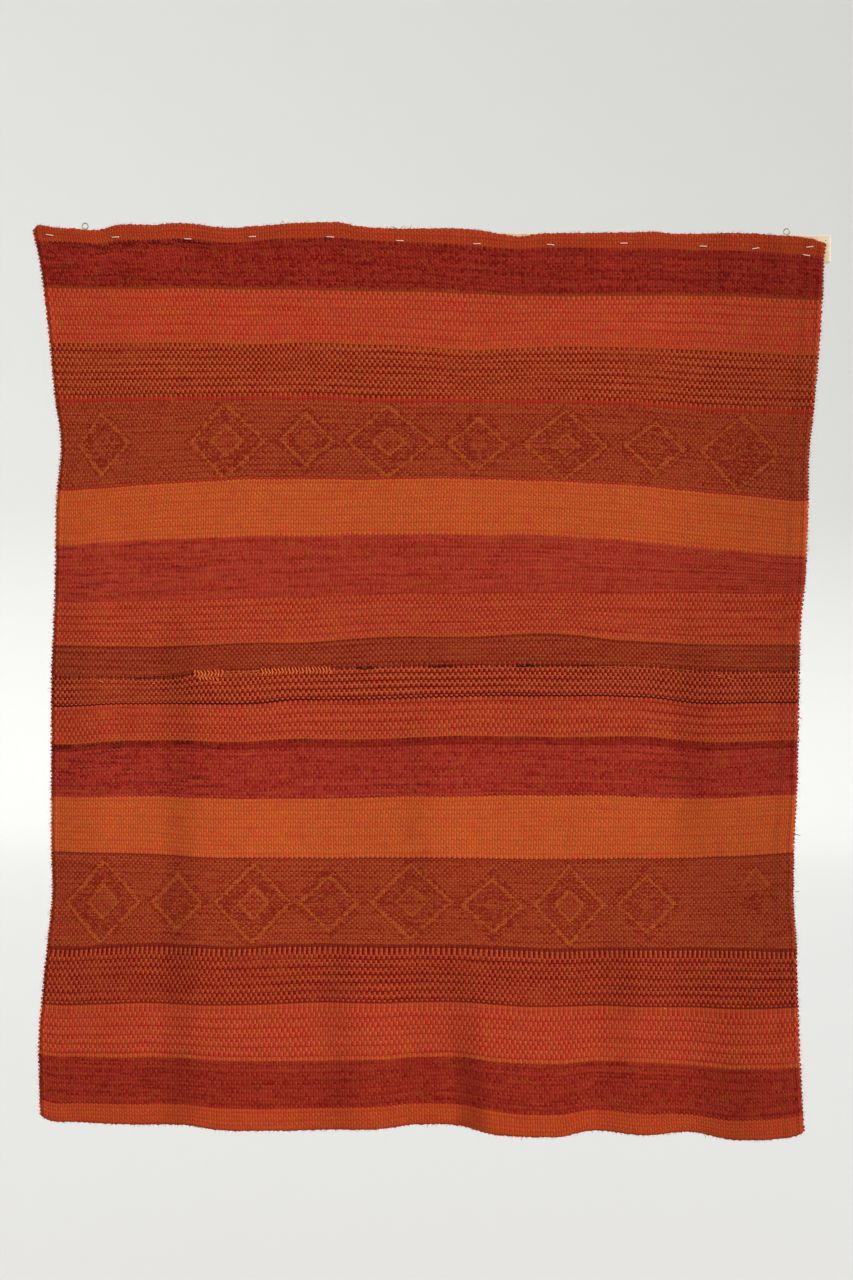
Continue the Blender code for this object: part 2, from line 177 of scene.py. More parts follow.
SIDES = (
    # height, left, right
    (-1290, -554, 536),
    (-1245, -555.5, 533),
    (-1160, -557.5, 528),
    (-1075, -552, 524),
    (-1010, -545.5, 522),
    (-935, -539.5, 517),
    (-880, -541.5, 517),
    (-800, -542, 520.5),
    (-650, -543, 522.5),
    (-560, -540.5, 524),
    (-480, -538.5, 530.5),
    (-400, -538.5, 533),
    (-310, -531.5, 534),
    (-240, -540.5, 540.5),
    (-165, -548.5, 546.5),
    (-75, -559.5, 551.5),
    (-30, -567, 553),
    (-12, -572, 555),
    (6, -574, 555),
)

# How far the cloth's back stands in front of the batten's face as it hangs
HANG = (
    # height, forward
    (-1290, -5),
    (-700, -1),
    (-260, 1.8),
    (-90, 2.6),
    (-46, 2.4),
    (-38, 1.6),
    (-31.5, 0.5),
    (5, 0.5),
    (14, 1.6),
)
USUAL_HANG = 1.6
BETWEEN_STAPLES = 1.5
BETWEEN_STAPLES_REACH = 34.0
BETWEEN_STAPLES_FADE = 150.0

# The main folds: each rises to its crest from the left and falls away slowly to the right
FOLDS = (
    # crest at start, crest at end, start, full, fade, end, rise, fall, forward
    (-331, -325, -430, -640, -1300, -1400, 62, 205, 8),
    (-487, -480, -330, -560, -860, -1010, 70, 60, 4),
    (6, 2, -600, -730, -900, -1000, 55, 95, 3.5),
    (-111, -104, -930, -1080, -1300, -1400, 55, 90, 5),
    (60, 90, -960, -1270, -1300, -1400, 55, 235, 13),
    (298, 300, -880, -1080, -1300, -1400, 65, 140, 6),
    (397, 402, -500, -650, -760, -940, 60, 110, 6),
    (448, 462, -930, -1250, -1300, -1400, 90, 90, 8),
)

# The stripes of each panel from its upper edge down, with the pitch of their warps and the height of each
# stripe's lower edge at ten stations across. The last stripe of a panel ends at the panel's own lower edge.
# The waves of the top edge and of the hem die out over their reaches.
STATIONS = -515.2 + 113.6 * np.arange(10)
TOP_WAVE_REACH = 45.0
HEM_WAVE_REACH = 110.0
UPPER_STRIPES = (
    # look, warp pitch, lower edge at each station
    ("rust border", 2.65, (-20, -16, -18, -12, -17, -20, -22, -22, -24, -28)),
    ("dark red", 2.9, (-85, -84, -84, -84, -85, -88, -90, -89, -88, -92)),
    ("orange red", 3.2, (-164, -162, -162, -161, -163, -168, -163, -163, -168, -173)),
    ("check", 2.52, (-247, -244, -241, -240, -244, -243, -243, -245, -253, -255)),
    ("brown", 2.1, (-372, -363, -355, -353, -352, -351, -353, -359, -368, -378)),
    ("orange", 2.9, (-450, -442, -436, -434, -431, -430, -431, -438, -448, -457)),
    ("red", 2.9, (-530, -528, -524, -520, -515, -513, -512, -512, -511, -510)),
    ("dots", 2.65, (-592, -593, -588, -584, -577, -575, -570, -580, -584, -583)),
    ("dark brown", 2.2, None),
)
LOWER_STRIPES = (
    # look, warp pitch, lower edge at each station
    ("bright check", 2.52, (-679, -674, -674, -668, -666, -660, -659, -659, -668, -665)),
    ("dots", 2.95, (-733, -725, -727, -722, -721, -716, -716, -715, -722, -718)),
    ("madder", 2.75, (-808, -806, -808, -807, -805, -802, -800, -801, -802, -797)),
    ("orange", 3.05, (-885, -887, -892, -892, -891, -890, -891, -889, -886, -878)),
    ("brown", 1.95, (-1024, -1020, -1021, -1017, -1018, -1018, -1022, -1019, -1018, -1019)),
    ("dark check", 2.85, (-1104, -1100, -1102, -1098, -1097, -1095, -1101, -1099, -1101, -1100)),
    ("orange dots", 3.2, (-1176, -1178, -1180, -1179, -1177, -1173, -1182, -1178, -1184, -1185)),
    ("wine", 2.95, (-1243, -1243, -1248, -1248, -1245, -1241, -1253, -1249, -1256, -1255)),
    ("hem border", 2.65, None),
)

# Lines of one to four warps that stand out at the head or foot of a stripe
UPPER_LINES = (
    # stripe, end, warps, look
    (1, "head", 4, "dashed red"),
    (1, "foot", 1, "olive line"),
    (2, "head", 2, "bars"),
    (2, "foot", 1, "ochre line"),
    (3, "foot", 2, "red line"),
    (4, "foot", 1, "red line"),
    (7, "foot", 1, "ochre line"),
    (8, "head", 1, "dark line"),
)
LOWER_LINES = (
    # stripe, end, warps, look
    (0, "foot", 1, "black line"),
    (1, "foot", 1, "ochre line"),
    (2, "head", 4, "dashed red"),
    (4, "head", 1, "dark line"),
    (4, "foot", 2, "dark line"),
    (5, "head", 3, "tall bars"),
    (5, "foot", 1, "dark line"),
    (6, "head", 2, "bars"),
    (6, "foot", 1, "ochre line"),
)

# The two yarns of each look and how they are used. Check is how far the floats alternate between the two
# yarns, streak how far whole warps differ, speckle how far single floats differ, and dash how many dark
# stretches of warp show. Bars keep every other weft in one yarn.
LOOKS = {
    # name: light yarn, dark yarn, share of dark, check, bars, streak, speckle, dash
    "rust border": ((195, 75, 39), (150, 39, 16), 0.50, 0.20, 0.10, 0.30, 0.50, 0.00),
    "hem border": ((203, 82, 42), (163, 51, 21), 0.50, 0.20, 0.10, 0.30, 0.50, 0.00),
    "dark red": ((173, 51, 35), (111, 15, 11), 0.48, 0.25, 0.05, 0.60, 1.30, 0.25),
    "dashed red": ((170, 50, 34), (108, 14, 12), 0.52, 0.25, 0.05, 0.40, 1.00, 1.00),
    "madder": ((192, 65, 46), (129, 22, 18), 0.48, 0.32, 0.05, 0.50, 1.05, 0.35),
    "wine": ((176, 56, 36), (118, 20, 14), 0.48, 0.30, 0.05, 0.55, 1.05, 0.20),
    "orange red": ((212, 88, 50), (166, 36, 24), 0.50, 0.45, 0.00, 0.35, 0.60, 0.00),
    "orange dots": ((208, 86, 50), (156, 32, 20), 0.50, 0.58, 0.00, 0.35, 0.50, 0.00),
    "dots": ((208, 86, 50), (148, 28, 18), 0.50, 0.58, 0.00, 0.45, 0.50, 0.05),
    "check": ((201, 87, 46), (117, 11, 6), 0.50, 0.76, 0.00, 0.40, 0.45, 0.05),
    "dark check": ((193, 76, 43), (110, 9, 7), 0.50, 0.76, 0.00, 0.40, 0.45, 0.05),
    "bright check": ((202, 84, 48), (106, 8, 6), 0.50, 0.82, 0.00, 0.35, 0.35, 0.05),
    "brown": ((190, 81, 44), (124, 24, 13), 0.50, 0.45, 0.00, 0.40, 0.80, 0.00),
    "dark brown": ((181, 76, 43), (115, 18, 9), 0.50, 0.55, 0.00, 0.45, 0.60, 0.05),
    "orange": ((214, 100, 48), (182, 64, 26), 0.45, 0.30, 0.05, 0.35, 0.60, 0.00),
    "red": ((194, 68, 47), (138, 32, 20), 0.45, 0.25, 0.05, 0.60, 1.00, 0.25),
    "dark line": ((152, 50, 27), (106, 24, 14), 0.60, 0.10, 0.20, 0.20, 0.40, 0.10),
    "black line": ((112, 30, 22), (62, 14, 16), 0.75, 0.10, 0.00, 0.30, 0.40, 0.30),
    "red line": ((190, 54, 36), (156, 32, 22), 0.50, 0.10, 0.10, 0.20, 0.40, 0.00),
    "ochre line": ((202, 94, 38), (164, 58, 22), 0.45, 0.20, 0.00, 0.30, 0.40, 0.00),
    "olive line": ((168, 72, 32), (122, 44, 18), 0.50, 0.20, 0.00, 0.30, 0.50, 0.00),
    "bars": ((208, 88, 48), (160, 38, 22), 0.50, 0.20, 0.45, 0.10, 0.55, 0.00),
    "tall bars": ((196, 80, 44), (100, 10, 8), 0.50, 0.00, 0.80, 0.10, 0.45, 0.00),
}
DASH_YARN = (54, 14, 16)
MEND_YARNS = ((242, 128, 58), (198, 78, 40))
# Dark yarn for loose ends, and for thick threads that also stand as painted shadow in the seam's open slits
DARK_YARN_AND_SEAM_SHADOW = ((40, 22, 20), (16, 10, 12))
SHEEN_YARN = (230, 130, 80)
YARN_GAIN = 0.885

# How strongly the weave shows in the tone of its yarns. Painted shade darkens the gaps between wefts, between
# pairs of warps and between warps, and painted light brightens the loops past the left end.
FULL_TONE = 1.10
PAINTED_GAP_SHADE_ACROSS = 0.05
PAINTED_GAP_SHADE_ALONG = 0.20
PAINTED_GAP_SHADE_OF_WARPS = 0.10
PAINTED_GAP_SHADE_SHARPNESS = 3.0
FLOAT_SPREAD = 0.50
STREAK_SPREAD = 0.22
CLOUD_SPREAD = 0.12
# Painted light: how far the loops past the left end, which face away from the key, are brightened
LEFT_END_PAINTED_LIGHT = 0.55

# How far the rows wander in wefts and in warps, and how much lower every other weft's floats lie
WEFT_WANDER = 2.2
WARP_WANDER = 2.0
ODD_LIFT = 0.34
ODD_LIFT_SPREAD = 0.9

# What goes into the share of the dark yarn: the part of a float's own noise that two warps have in common,
# how far streaks and their stretches show, how much a cloud calms the check, and how the loops differ
PAIR_NOISE = 0.45
STREAK_GAIN = 2.0
STRETCH_GAIN = 1.4
CLOUD_CALM = 0.45
LOOP_CHECK = 1.3
LOOP_LIGHTER = 0.15
PAST_EDGE = 0.01

# Dashes are the darkest stretches of a warp. They cover a part of its width, and differ from float to float.
DASH_GAIN = 0.13
DASH_WIDTH = 0.66
DASH_STRENGTH = 0.85
DASH_CHECK = 0.2

# Start and slope of what shows only where its noise is high
CLOUD_RISE = (0.02, 6.0)
TINGE_RISE = (0.04, 5.0)
DASH_RISE = (0.12, 9.0)

# The wool's roughness and how far its fuzz raises it, the height of its bump in metres, and what makes the
# bump: the wefts' ribs, the floats and the fuzz
WOOL_ROUGHNESS = (0.95, 0.2)
WOOL_BUMP = 0.0011
RAISED_RIB = 0.04
RAISED_FLOAT = 0.52
RAISED_FUZZ = 0.44

# Two rarer dyes that tinge the wool, each on its own side of a noise
TINGES = (
    # side, yarn, most of it
    (1.0, (176, 84, 26), 0.30),
    (-1.0, (186, 54, 40), 0.35),
)
NOISES = {
    # name: how fast it changes along wefts and along warps, offset, detail
    "wander": (0.05, 0.035, 3.1, 2.0),
    "drift": (0.018, 0.05, 8.7, 0.0),
    "sway": (0.035, 0.05, 1.3, 1.5),
    "cloud": (0.02, 0.02, 20.0, 2.0),
    "streaks": (0.014, 7.13, 5.0, 2.0),
    "stretch": (0.10, 3.7, 11.0, 1.0),
    "tinge": (0.16, 0.20, 31.0, 1.0),
    "fuzz": (2.3, 2.9, 0.0, 2.0),
}
# Tone across the cloth: a little darker near the left end, and painted shade over its right part, with a
# narrow darker line near the right end
TONE_AND_PAINTED_SHADE_ACROSS = (
    # share of the width, tone
    (0.000, 0.88),
    (0.020, 0.94),
    (0.100, 0.95),
    (0.135, 1.00),
    (0.790, 1.00),
    (0.860, 0.91),
    (0.930, 0.84),
    (0.970, 0.83),
    (0.976, 0.72),
    (0.982, 0.83),
    (1.000, 0.82),
)
DASHES_ACROSS = (
    # share of the width, how many of the dashes show
    (0.00, 1.00),
    (0.12, 1.00),
    (0.20, 0.85),
    (0.26, 0.30),
    (1.00, 0.20),
)

# The diamonds of the two brown stripes. The inner diamond stands at a share of the outer one's size, and the
# speckle around a diamond ends at its halo's share.
UPPER_DIAMONDS = (
    # across, height, half width, half height, inner, inner strength, halo
    (-469.5, -306, 35.5, 43, 0.36, 0.4, 1.20),
    (-294, -300, 53, 52.5, 0.41, 1, 1.20),
    (-182, -297, 37, 35.5, 0.35, 0.4, 1.40),
    (-64, -298.5, 59.5, 49.5, 0.38, 1, 1.20),
    (62, -301.5, 40, 37, 0.30, 0.3, 1.40),
    (186, -301.5, 57.5, 48, 0.32, 1, 1.20),
    (312, -304.5, 41, 35.5, 0.34, 0.4, 1.40),
    (433, -312, 53, 53, 0.10, 0, 1.15),
)
LOWER_DIAMONDS = (
    # across, height, half width, half height, inner, inner strength, halo
    (-465, -956, 51, 58, 0.40, 1, 1.15),
    (-360, -955, 34, 39, 0.25, 0, 1.45),
    (-252, -956, 52.5, 55, 0.39, 1, 1.15),
    (-145, -955, 40, 38, 0.25, 0, 1.40),
    (-28, -952.5, 57, 53, 0.39, 1, 1.15),
    (87.5, -956.5, 42.5, 37.5, 0.28, 0, 1.40),
    (196, -956, 48, 55, 0.41, 1, 1.15),
    (306, -954, 41, 40, 0.28, 0, 1.40),
)

# Warps at the head and the foot of a brown stripe that its diamonds keep clear of
FIGURED_HEAD = 2
FIGURED_FOOT = 3

# The last diamond, of which only some parts show: where its lines stop above and below its middle, how far
# its speckled core reaches, half the width of its lines, and how strong its foot is
PART_DIAMOND = (460.0, -952.0, 38.0, 51.0)
PART_DIAMOND_TOP = 0.45
PART_DIAMOND_FOOT = 0.75
PART_DIAMOND_CORE = 0.45
PART_LINE_WEFTS = 0.5
PART_FOOT_STRENGTH = 0.6

# Half the width of the other diamonds' lines, and what their grounds, halos and lines are made of
LINE_WEFTS = 0.72
INNER_LINE_WEFTS = 0.62
DIAMOND_PARTS = (
    # yarn, share of the floats that it leaves out, strength
    ((124, 14, 13), 0.64, 0.58),
    ((124, 14, 13), 0.66, 0.62),
    ((180, 84, 32), 0.12, 0.88),
)

# Where the seam was mended with a lighter yarn: rows of slanted stitches below the seam
MENDS = (
    # first, last, height of the first row at first and last, rows, row pitch
    (-337, -297, -628.6, -626.8, 2, 4.6),
    (-330, -304, -637.4, -636.6, 1, 4.6),
    (-242, -142, -624.6, -621.6, 2, 4.4),
)

# Threads that lie along the seam. The thick dark ones lie over the seam's open slits and stand for dark
# thread and for painted shadow in those slits.
THREADS = (
    # first, last, height at first and last, radius, yarn
    (-296, -240, -627.8, -624.6, 0.40, "mend"),
    (-297, -241, -631, -625.4, 0.35, "mend"),
    (238, 366, -615.2, -620.2, 0.40, "mend"),
    (-109, -95, -619.6, -621, 1.10, "dark"),
    (-99, -88, -621.6, -620.6, 0.80, "dark"),
    (-91, -83, -619, -620.2, 1.10, "dark"),
    (-6, 8, -616.6, -617.8, 0.80, "dark"),
    (3, 18, -618, -616.6, 1.00, "dark"),
    (14, 31, -616, -617.2, 0.65, "dark"),
    (118, 130, -614.6, -616.4, 1.20, "dark"),
    (126, 136, -617, -615, 0.80, "dark"),
    (132, 147, -614.4, -616, 1.20, "dark"),
    (146, 232, -614.9, -614.6, 0.40, "dark"),
    (-423, -345, -637.4, -631.5, 0.40, "dark"),
)

# Loose ends and tufts: where each leaves the cloth, which way it goes (0 is right, 90 up), and its size
LOOSE_ENDS = (
    # across, height, direction, length, radius, yarn
    (-215, 9, 120, 8, 0.45, "mend"),
    (-221, 9.5, 35, 7, 0.40, "mend"),
    (-57, 4.5, 150, 9, 0.45, "dark"),
    (-50, 4.5, 40, 8, 0.40, "mend"),
    (-37, 4, 60, 7, 0.40, "mend"),
    (-3, -1268.5, -80, 5.5, 0.55, "mend"),
    (-73, -1274, -110, 6, 0.50, "mend"),
    (118, -1281, -20, 14, 0.50, "mend"),
    (136, -1282, -150, 9, 0.45, "mend"),
    (392, -1279, -70, 6.5, 0.50, "mend"),
    (518, -934, 10, 7, 0.50, "mend"),
    (519, -852, -25, 6.5, 0.50, "dark"),
    (520.5, -683, -60, 8, 0.80, "mend"),
    (520.5, -697, -85, 9, 0.80, "mend"),
    (520, -714, -70, 7, 0.75, "mend"),
    (-399, -645, 10, 6, 0.75, "mend"),
    (-474, -641, -20, 9, 0.75, "mend"),
    (-458, -644, 15, 7, 0.65, "mend"),
    (-312, -643, 0, 12, 0.70, "mend"),
    (404, -627, -10, 8, 0.70, "mend"),
    (418, -631, -5, 10, 0.70, "mend"),
    (-19.7, -1108.2, 20, 4.5, 1.00, "mend"),
    (331, -1099.8, -15, 5, 1.10, "mend"),
    (-21.9, -479.1, 30, 4, 0.90, "dark"),
    (-536, -635, 200, 9, 0.40, "mend"),
    (-537, -640, 160, 8, 0.35, "dark"),
    (-541, -652, 190, 7, 0.35, "mend"),
)

# The second map's bands for the front, the back and the rim: the lowest of each, and its height
BAKE_BANDS = ((0.424, 0.572), (0.004, 0.352), (0.365, 0.05))
BAKE_MARGIN = 0.004

# Noises that run along the batten or along steel wire
GRAINS = {
    # name: how fast it changes along X and across it per metre, detail
    "bend": (3.0, 20.0, 2.0),
    "pores": (60.0, 2600.0, 2.0),
    "film": (900.0, 900.0, 2.0),
    "drawn": (300.0, 9000.0, 1.0),
}

# Pine: its grain lines per metre of height and of depth, how far they bend and how narrow they are, its
# colours, its roughness with how far its pores raise it, and its bump
GRAIN_PER_HEIGHT = 430.0
GRAIN_PER_DEPTH = 260.0
GRAIN_BEND = 7.0
GRAIN_NARROWNESS = 3.0
PINE_PALE = (240, 222, 190)
PINE_LAYERS = (
    # how strongly it shows, colour: the grain, the pores and the nail's mark
    (0.45, (226, 192, 146)),
    (0.35, (232, 204, 164)),
    (0.8, (70, 50, 40)),
)
PINE_ROUGHNESS = (0.62, 0.2)
PINE_BUMP = 0.0002
PINE_BUMP_OF_GRAIN = 0.4
PINE_BUMP_OF_PORES = 0.6

# Steel wire: its bright and dull colours, its roughness with how far its film raises it, and its bump
STAPLE_COLOURS = ((250, 228, 208), (206, 160, 136))
SCREW_EYE_COLOURS = ((176, 176, 170), (168, 164, 154))
STEEL_ROUGHNESS = (0.45, 0.3)
STEEL_BUMP = 0.00005

# Loose yarn: how fast its plies change across and along it and its worn patches, per metre, how they show,
# and its roughness with how far its plies raise it
YARN_ROUGHNESS = (0.8, 0.2)
PLY_RATE_ACROSS = 900.0
PLY_RATE_ALONG = 400.0
PATCH_RATE = 160.0
PLIES_SHOW = 1.6
PATCHES_SHOW = 1.4
YARN_BUMP = 0.0003

# Inputs and output of a colour mix by number, the ramps' steps, and the seed of all that is random
MIX_SHARE = 0
MIX_FIRST = 6
MIX_SECOND = 7
MIX_RESULT = 2
RAMP_STEPS = 255
SEED = 7


# Shapes

def curve_through(rows, column=1):
    """A smooth curve through a table: its first column is the key, and column picks the value."""
    table = np.array(sorted(rows), dtype=float)
    keys = table[:, 0]
    values = table[:, column]
    rates = np.diff(values) / np.diff(keys)
    slopes = np.concatenate((rates[:1], (rates[:-1] + rates[1:]) / 2, rates[-1:]))
    slopes[1:-1][rates[:-1] * rates[1:] <= 0] = 0.0

    def value_at(key):
        key = np.clip(key, keys[0], keys[-1])
        low = np.clip(np.searchsorted(keys, key) - 1, 0, len(keys) - 2)
        step = keys[low + 1] - keys[low]
        t = (key - keys[low]) / step
        from_values = (1 + 2 * t) * (1 - t) ** 2 * values[low] + t * t * (3 - 2 * t) * values[low + 1]
        from_slopes = t * (1 - t) ** 2 * slopes[low] - t * t * (1 - t) * slopes[low + 1]
        return from_values + step * from_slopes

    return value_at


top_at = curve_through(TOP_EDGE)
seam_at = curve_through(SEAM)
hem_at = curve_through(HEM)
left_at = curve_through(SIDES)
right_at = curve_through(SIDES, 2)
hang_at = curve_through(HANG)


def woven_sides(height):
    """Where the weave itself ends on the left and on the right, inside the turns of its warps."""
    return left_at(height) + LOOP_REACH, right_at(height) - LOOP_REACH


def crowded(share):
    """Share of the width for a share of the wefts: they lie closer together towards both ends."""
    return share - WEFT_CROWDING * np.sin(2 * math.pi * share) / (2 * math.pi)


def ease(t):
    """0 below 0, 1 above 1, and a smooth step between them."""
    t = np.clip(t, 0.0, 1.0)
    return t * t * (3 - 2 * t)


def fold_forward(across, height):
    """How far all the folds together bring the cloth forward."""
    forward = 0.0
    for crest_top, crest_end, start, full, fade, end, rise, fall, depth in FOLDS:
        along = np.clip((height - start) / (HEM[0][1] - start), 0.0, 1.0)
        from_crest = across - (crest_top + (crest_end - crest_top) * along)
        profile = ease(1 - np.abs(from_crest) / np.where(from_crest < 0, rise, fall))
        strength = ease((height - start) / (full - start)) * ease((height - end) / (fade - end))
        forward = forward + depth * strength * profile
    return forward


def staple_slack(across, height):
    """How far the cloth bulges off the batten between its staples, fading out below."""
    nearest = np.min([np.abs(across - staple) for staple in STAPLES], axis=0)
    bulge = ease((nearest - STAPLE_HALF_FLAT) / BETWEEN_STAPLES_REACH)
    return BETWEEN_STAPLES * bulge * ease(1 + height / BETWEEN_STAPLES_FADE)


def cloth_back(across, height):
    """Y of the cloth's back face."""
    forward = hang_at(height) + staple_slack(across, height) + fold_forward(across, height)
    return -BATTEN_DEPTH / 2 - forward


def cloth_thickness(from_side, from_rim, from_seam):
    """Thickness of the cloth: a bead at the loom ends, a thin rim, and nearly all of it at the seam. Also how
    far inside the cloth a point is: 0 at every edge, and 1 a little way in."""
    bead = ease(1 - np.abs(from_side - LOOM_END_BEAD_AT) / (LOOM_END_BEAD_REACH - LOOM_END_BEAD_AT))
    full = CLOTH_THICKNESS + (LOOM_END_BEAD - CLOTH_THICKNESS) * bead
    edge = ease(np.minimum(from_side, from_rim) / RIM_REACH)
    seam = ease(from_seam / SEAM_REACH)
    outer = RIM_THICKNESS + (full - RIM_THICKNESS) * edge
    return outer - (CLOTH_THICKNESS - SEAM_THICKNESS) * (1 - seam) * edge, edge * seam


class Panel:
    """One woven panel: its stripes counted in warps, and where each float of it hangs."""

    def __init__(self, upper, lower, stripes, lines, diamonds, waved_end, wave_reach):
        inner = [curve_through(zip(STATIONS, heights)) for _, _, heights in stripes[:-1]]
        self.edges = [upper, *inner, lower]
        self.diamonds = diamonds
        self.waved_end = waved_end
        self.smooth_end = curve_through(zip(STATIONS, self.edges[waved_end](STATIONS)))
        self.middles = np.array([np.mean(edge(STATIONS)) for edge in self.edges])
        self.wave_shares = np.exp(-np.abs(self.middles - self.middles[waved_end]) / wave_reach)
        self.wave_shares[[0, -1]] = 0.0
        pitches = np.array([pitch for _, pitch, _ in stripes])
        counts = 2 * np.maximum(1, np.round(-np.diff(self.middles) / pitches / 2))
        self.starts = np.concatenate(([0.0], np.cumsum(counts)))
        self.warps = int(self.starts[-1])
        self.bands = self.band_list(stripes, lines)
        brown = [stripe[0] for stripe in stripes].index("brown")
        self.figured = (self.starts[brown] - 1, self.starts[brown + 1] + 1)

    def band_list(self, stripes, lines):
        """Every band of one look as (first warp, look), from the top down."""
        bands = []
        for index, (look, _, _) in enumerate(stripes):
            first = self.starts[index]
            for count, line_look in [line[2:] for line in lines if line[:2] == (index, "head")]:
                bands.append((first, line_look))
                first += count
            bands.append((first, look))
            for count, line_look in [line[2:] for line in lines if line[:2] == (index, "foot")]:
                bands.append((self.starts[index + 1] - count, line_look))
        return bands

    def levels_at(self, across):
        """Height of every stripe's edge at a place across. The waves of the outer edge fade inwards."""
        levels = [edge(across) for edge in self.edges]
        wave = levels[self.waved_end] - self.smooth_end(across)
        return np.array([level + wave * share for level, share in zip(levels, self.wave_shares)])

    def height_of(self, across, warp):
        """Height of a warp number at a place across the cloth."""
        levels = self.levels_at(across)
        stripe = np.clip(np.searchsorted(self.starts, warp, side="right") - 1, 0, len(self.starts) - 2)
        share = (warp - self.starts[stripe]) / (self.starts[stripe + 1] - self.starts[stripe])
        head, foot = (np.take_along_axis(levels, (stripe + step)[None], axis=0)[0] for step in (0, 1))
        return head + (foot - head) * share

    def place(self, weft, warp):
        """Across and height of a float by its weft and warp numbers, nearer to it with every round."""
        share = crowded(weft / WEFTS)
        across = BATTEN_LENGTH * (share - 0.5)
        for _ in range(PLACE_ROUNDS):
            left, right = woven_sides(self.height_of(across, warp))
            across = left + (right - left) * share
        return across, self.height_of(across, warp)

    def weave_of(self, across, height):
        """Weft and warp numbers of a place on the cloth."""
        left, right = woven_sides(height)
        goal = (across - left) / (right - left)
        share = goal
        for _ in range(WEAVE_ROUNDS):
            share = share + goal - crowded(share)
        warp = np.interp(-height, -self.levels_at(across), self.starts)
        return float(WEFTS * share), float(warp)

    def row_warps(self):
        """The warp numbers that get a row of points: every stripe's edges and even steps between."""
        rows = {1.0, self.starts[-1] - 1.0, self.starts[-1]}
        for start, stop in zip(self.starts, self.starts[1:]):
            steps = max(1, round((stop - start) / WARPS_PER_ROW))
            rows.update(start + (stop - start) * step / steps for step in range(steps))
        return np.array(sorted(rows))


def seam_edge(side):
    """The edge of one panel along the seam: side 1 is the upper panel's, and side -1 the lower one's."""
    return lambda across: seam_at(across) + side * TOUCH / 2


UPPER = Panel(top_at, seam_edge(1), UPPER_STRIPES, UPPER_LINES, UPPER_DIAMONDS, 0, TOP_WAVE_REACH)
LOWER = Panel(seam_edge(-1), hem_at, LOWER_STRIPES, LOWER_LINES, LOWER_DIAMONDS, -1, HEM_WAVE_REACH)


def depths_at(panel, weft, warp):
    """Across, height, back and thickness of the cloth at weft and warp numbers, and how far inside it is."""
    across, height = panel.place(weft, warp)
    left, right = woven_sides(height)
    from_side = np.minimum(across - left, right - across)
    from_top = warp * WARP_PITCH
    from_foot = (panel.warps - warp) * WARP_PITCH
    from_rim, from_seam = (from_top, from_foot) if panel is UPPER else (from_foot, from_top)
    thickness, inside = cloth_thickness(from_side, from_rim, from_seam)
    return across, height, cloth_back(across, height), thickness, inside


def grid_faces(rows, columns, side):
    """Four-cornered faces of one side's grid: side 0 is the front, and side 1 is the back, turned round."""
    row, column = np.meshgrid(np.arange(rows - 1), np.arange(columns - 1), indexing="ij")
    first = side * rows * columns + row * columns + column
    corners = np.stack((first, first + columns, first + columns + 1, first + 1), axis=-1).reshape(-1, 4)
    return corners[:, ::-1] if side else corners


def rim_loop(rows, columns):
    """Row and column of the grid's edge points, once round."""
    last_row = rows - 1
    last_column = columns - 1
    loop = [(0, column) for column in range(last_column)]
    loop += [(row, last_column) for row in range(last_row)]
    loop += [(last_row, column) for column in range(last_column, 0, -1)]
    loop += [(row, 0) for row in range(last_row, 0, -1)]
    return np.array(loop)


def panel_object(name, panel, chance):
    """A panel as one closed sheet: a front grid and a back grid on the same points, and a rounded rim."""
    wefts = np.arange(WEFTS * POINTS_PER_WEFT + 1) / POINTS_PER_WEFT
    warp, weft = np.meshgrid(panel.row_warps(), wefts, indexing="ij")
    across, height, back, thickness, inside = depths_at(panel, weft, warp)
    rib = RIB_HEIGHT / 2 * np.cos(2 * math.pi * (weft - 0.5)) * inside
    rows, columns = warp.shape
    grids = (np.stack((across, depth, height), axis=-1) for depth in (back - thickness - rib, back + rib))
    front, back = (grid.reshape(-1, 3) for grid in grids)
    weave = np.stack((weft, warp), axis=-1).reshape(-1, 2)

    loop = rim_loop(rows, columns)
    front_rim = loop[:, 0] * columns + loop[:, 1]
    back_rim = front_rim + len(front)
    middle_rim = 2 * len(front) + np.arange(len(loop))
    along = np.roll(front[front_rim], -1, axis=0) - np.roll(front[front_rim], 1, axis=0)
    outward = np.stack((-along[:, 2], np.zeros(len(along)), along[:, 0]), axis=-1)
    outward /= np.linalg.norm(outward, axis=1, keepdims=True)
    seam_row = rows - 1 if panel is UPPER else 0
    wave = RIM_BULGE + RIM_WAVE * scatter(chance, 1, len(loop))
    bulge = np.where(loop[:, 0] == seam_row, SEAM_BULGE, wave)
    rim = (front[front_rim] + back[front_rim]) / 2 + outward * bulge[:, None]

    faces = [grid_faces(rows, columns, 0), grid_faces(rows, columns, 1)]
    for first, second in ((front_rim, middle_rim), (middle_rim, back_rim)):
        faces.append(np.stack((first, np.roll(first, -1), np.roll(second, -1), second), axis=-1))
    faces = np.concatenate(faces)
    weave = np.concatenate((weave, weave, weave[front_rim]))
    mesh = mesh_from(name, np.concatenate((front, back, rim)), faces, weave)
    add_bake_map(mesh, weave / (WEFTS, panel.warps), faces, (rows - 1) * (columns - 1))
    middle_warp = weave[faces, 1].mean(axis=1)
    figured = (middle_warp > panel.figured[0]) & (middle_warp < panel.figured[1])
    mesh.polygons.foreach_set("material_index", figured.astype(np.int32))
    return linked(name, mesh)


def linked(name, data):
    """A new object in the scene."""
    made = bpy.data.objects.new(name, data)
    bpy.context.scene.collection.objects.link(made)
    return made


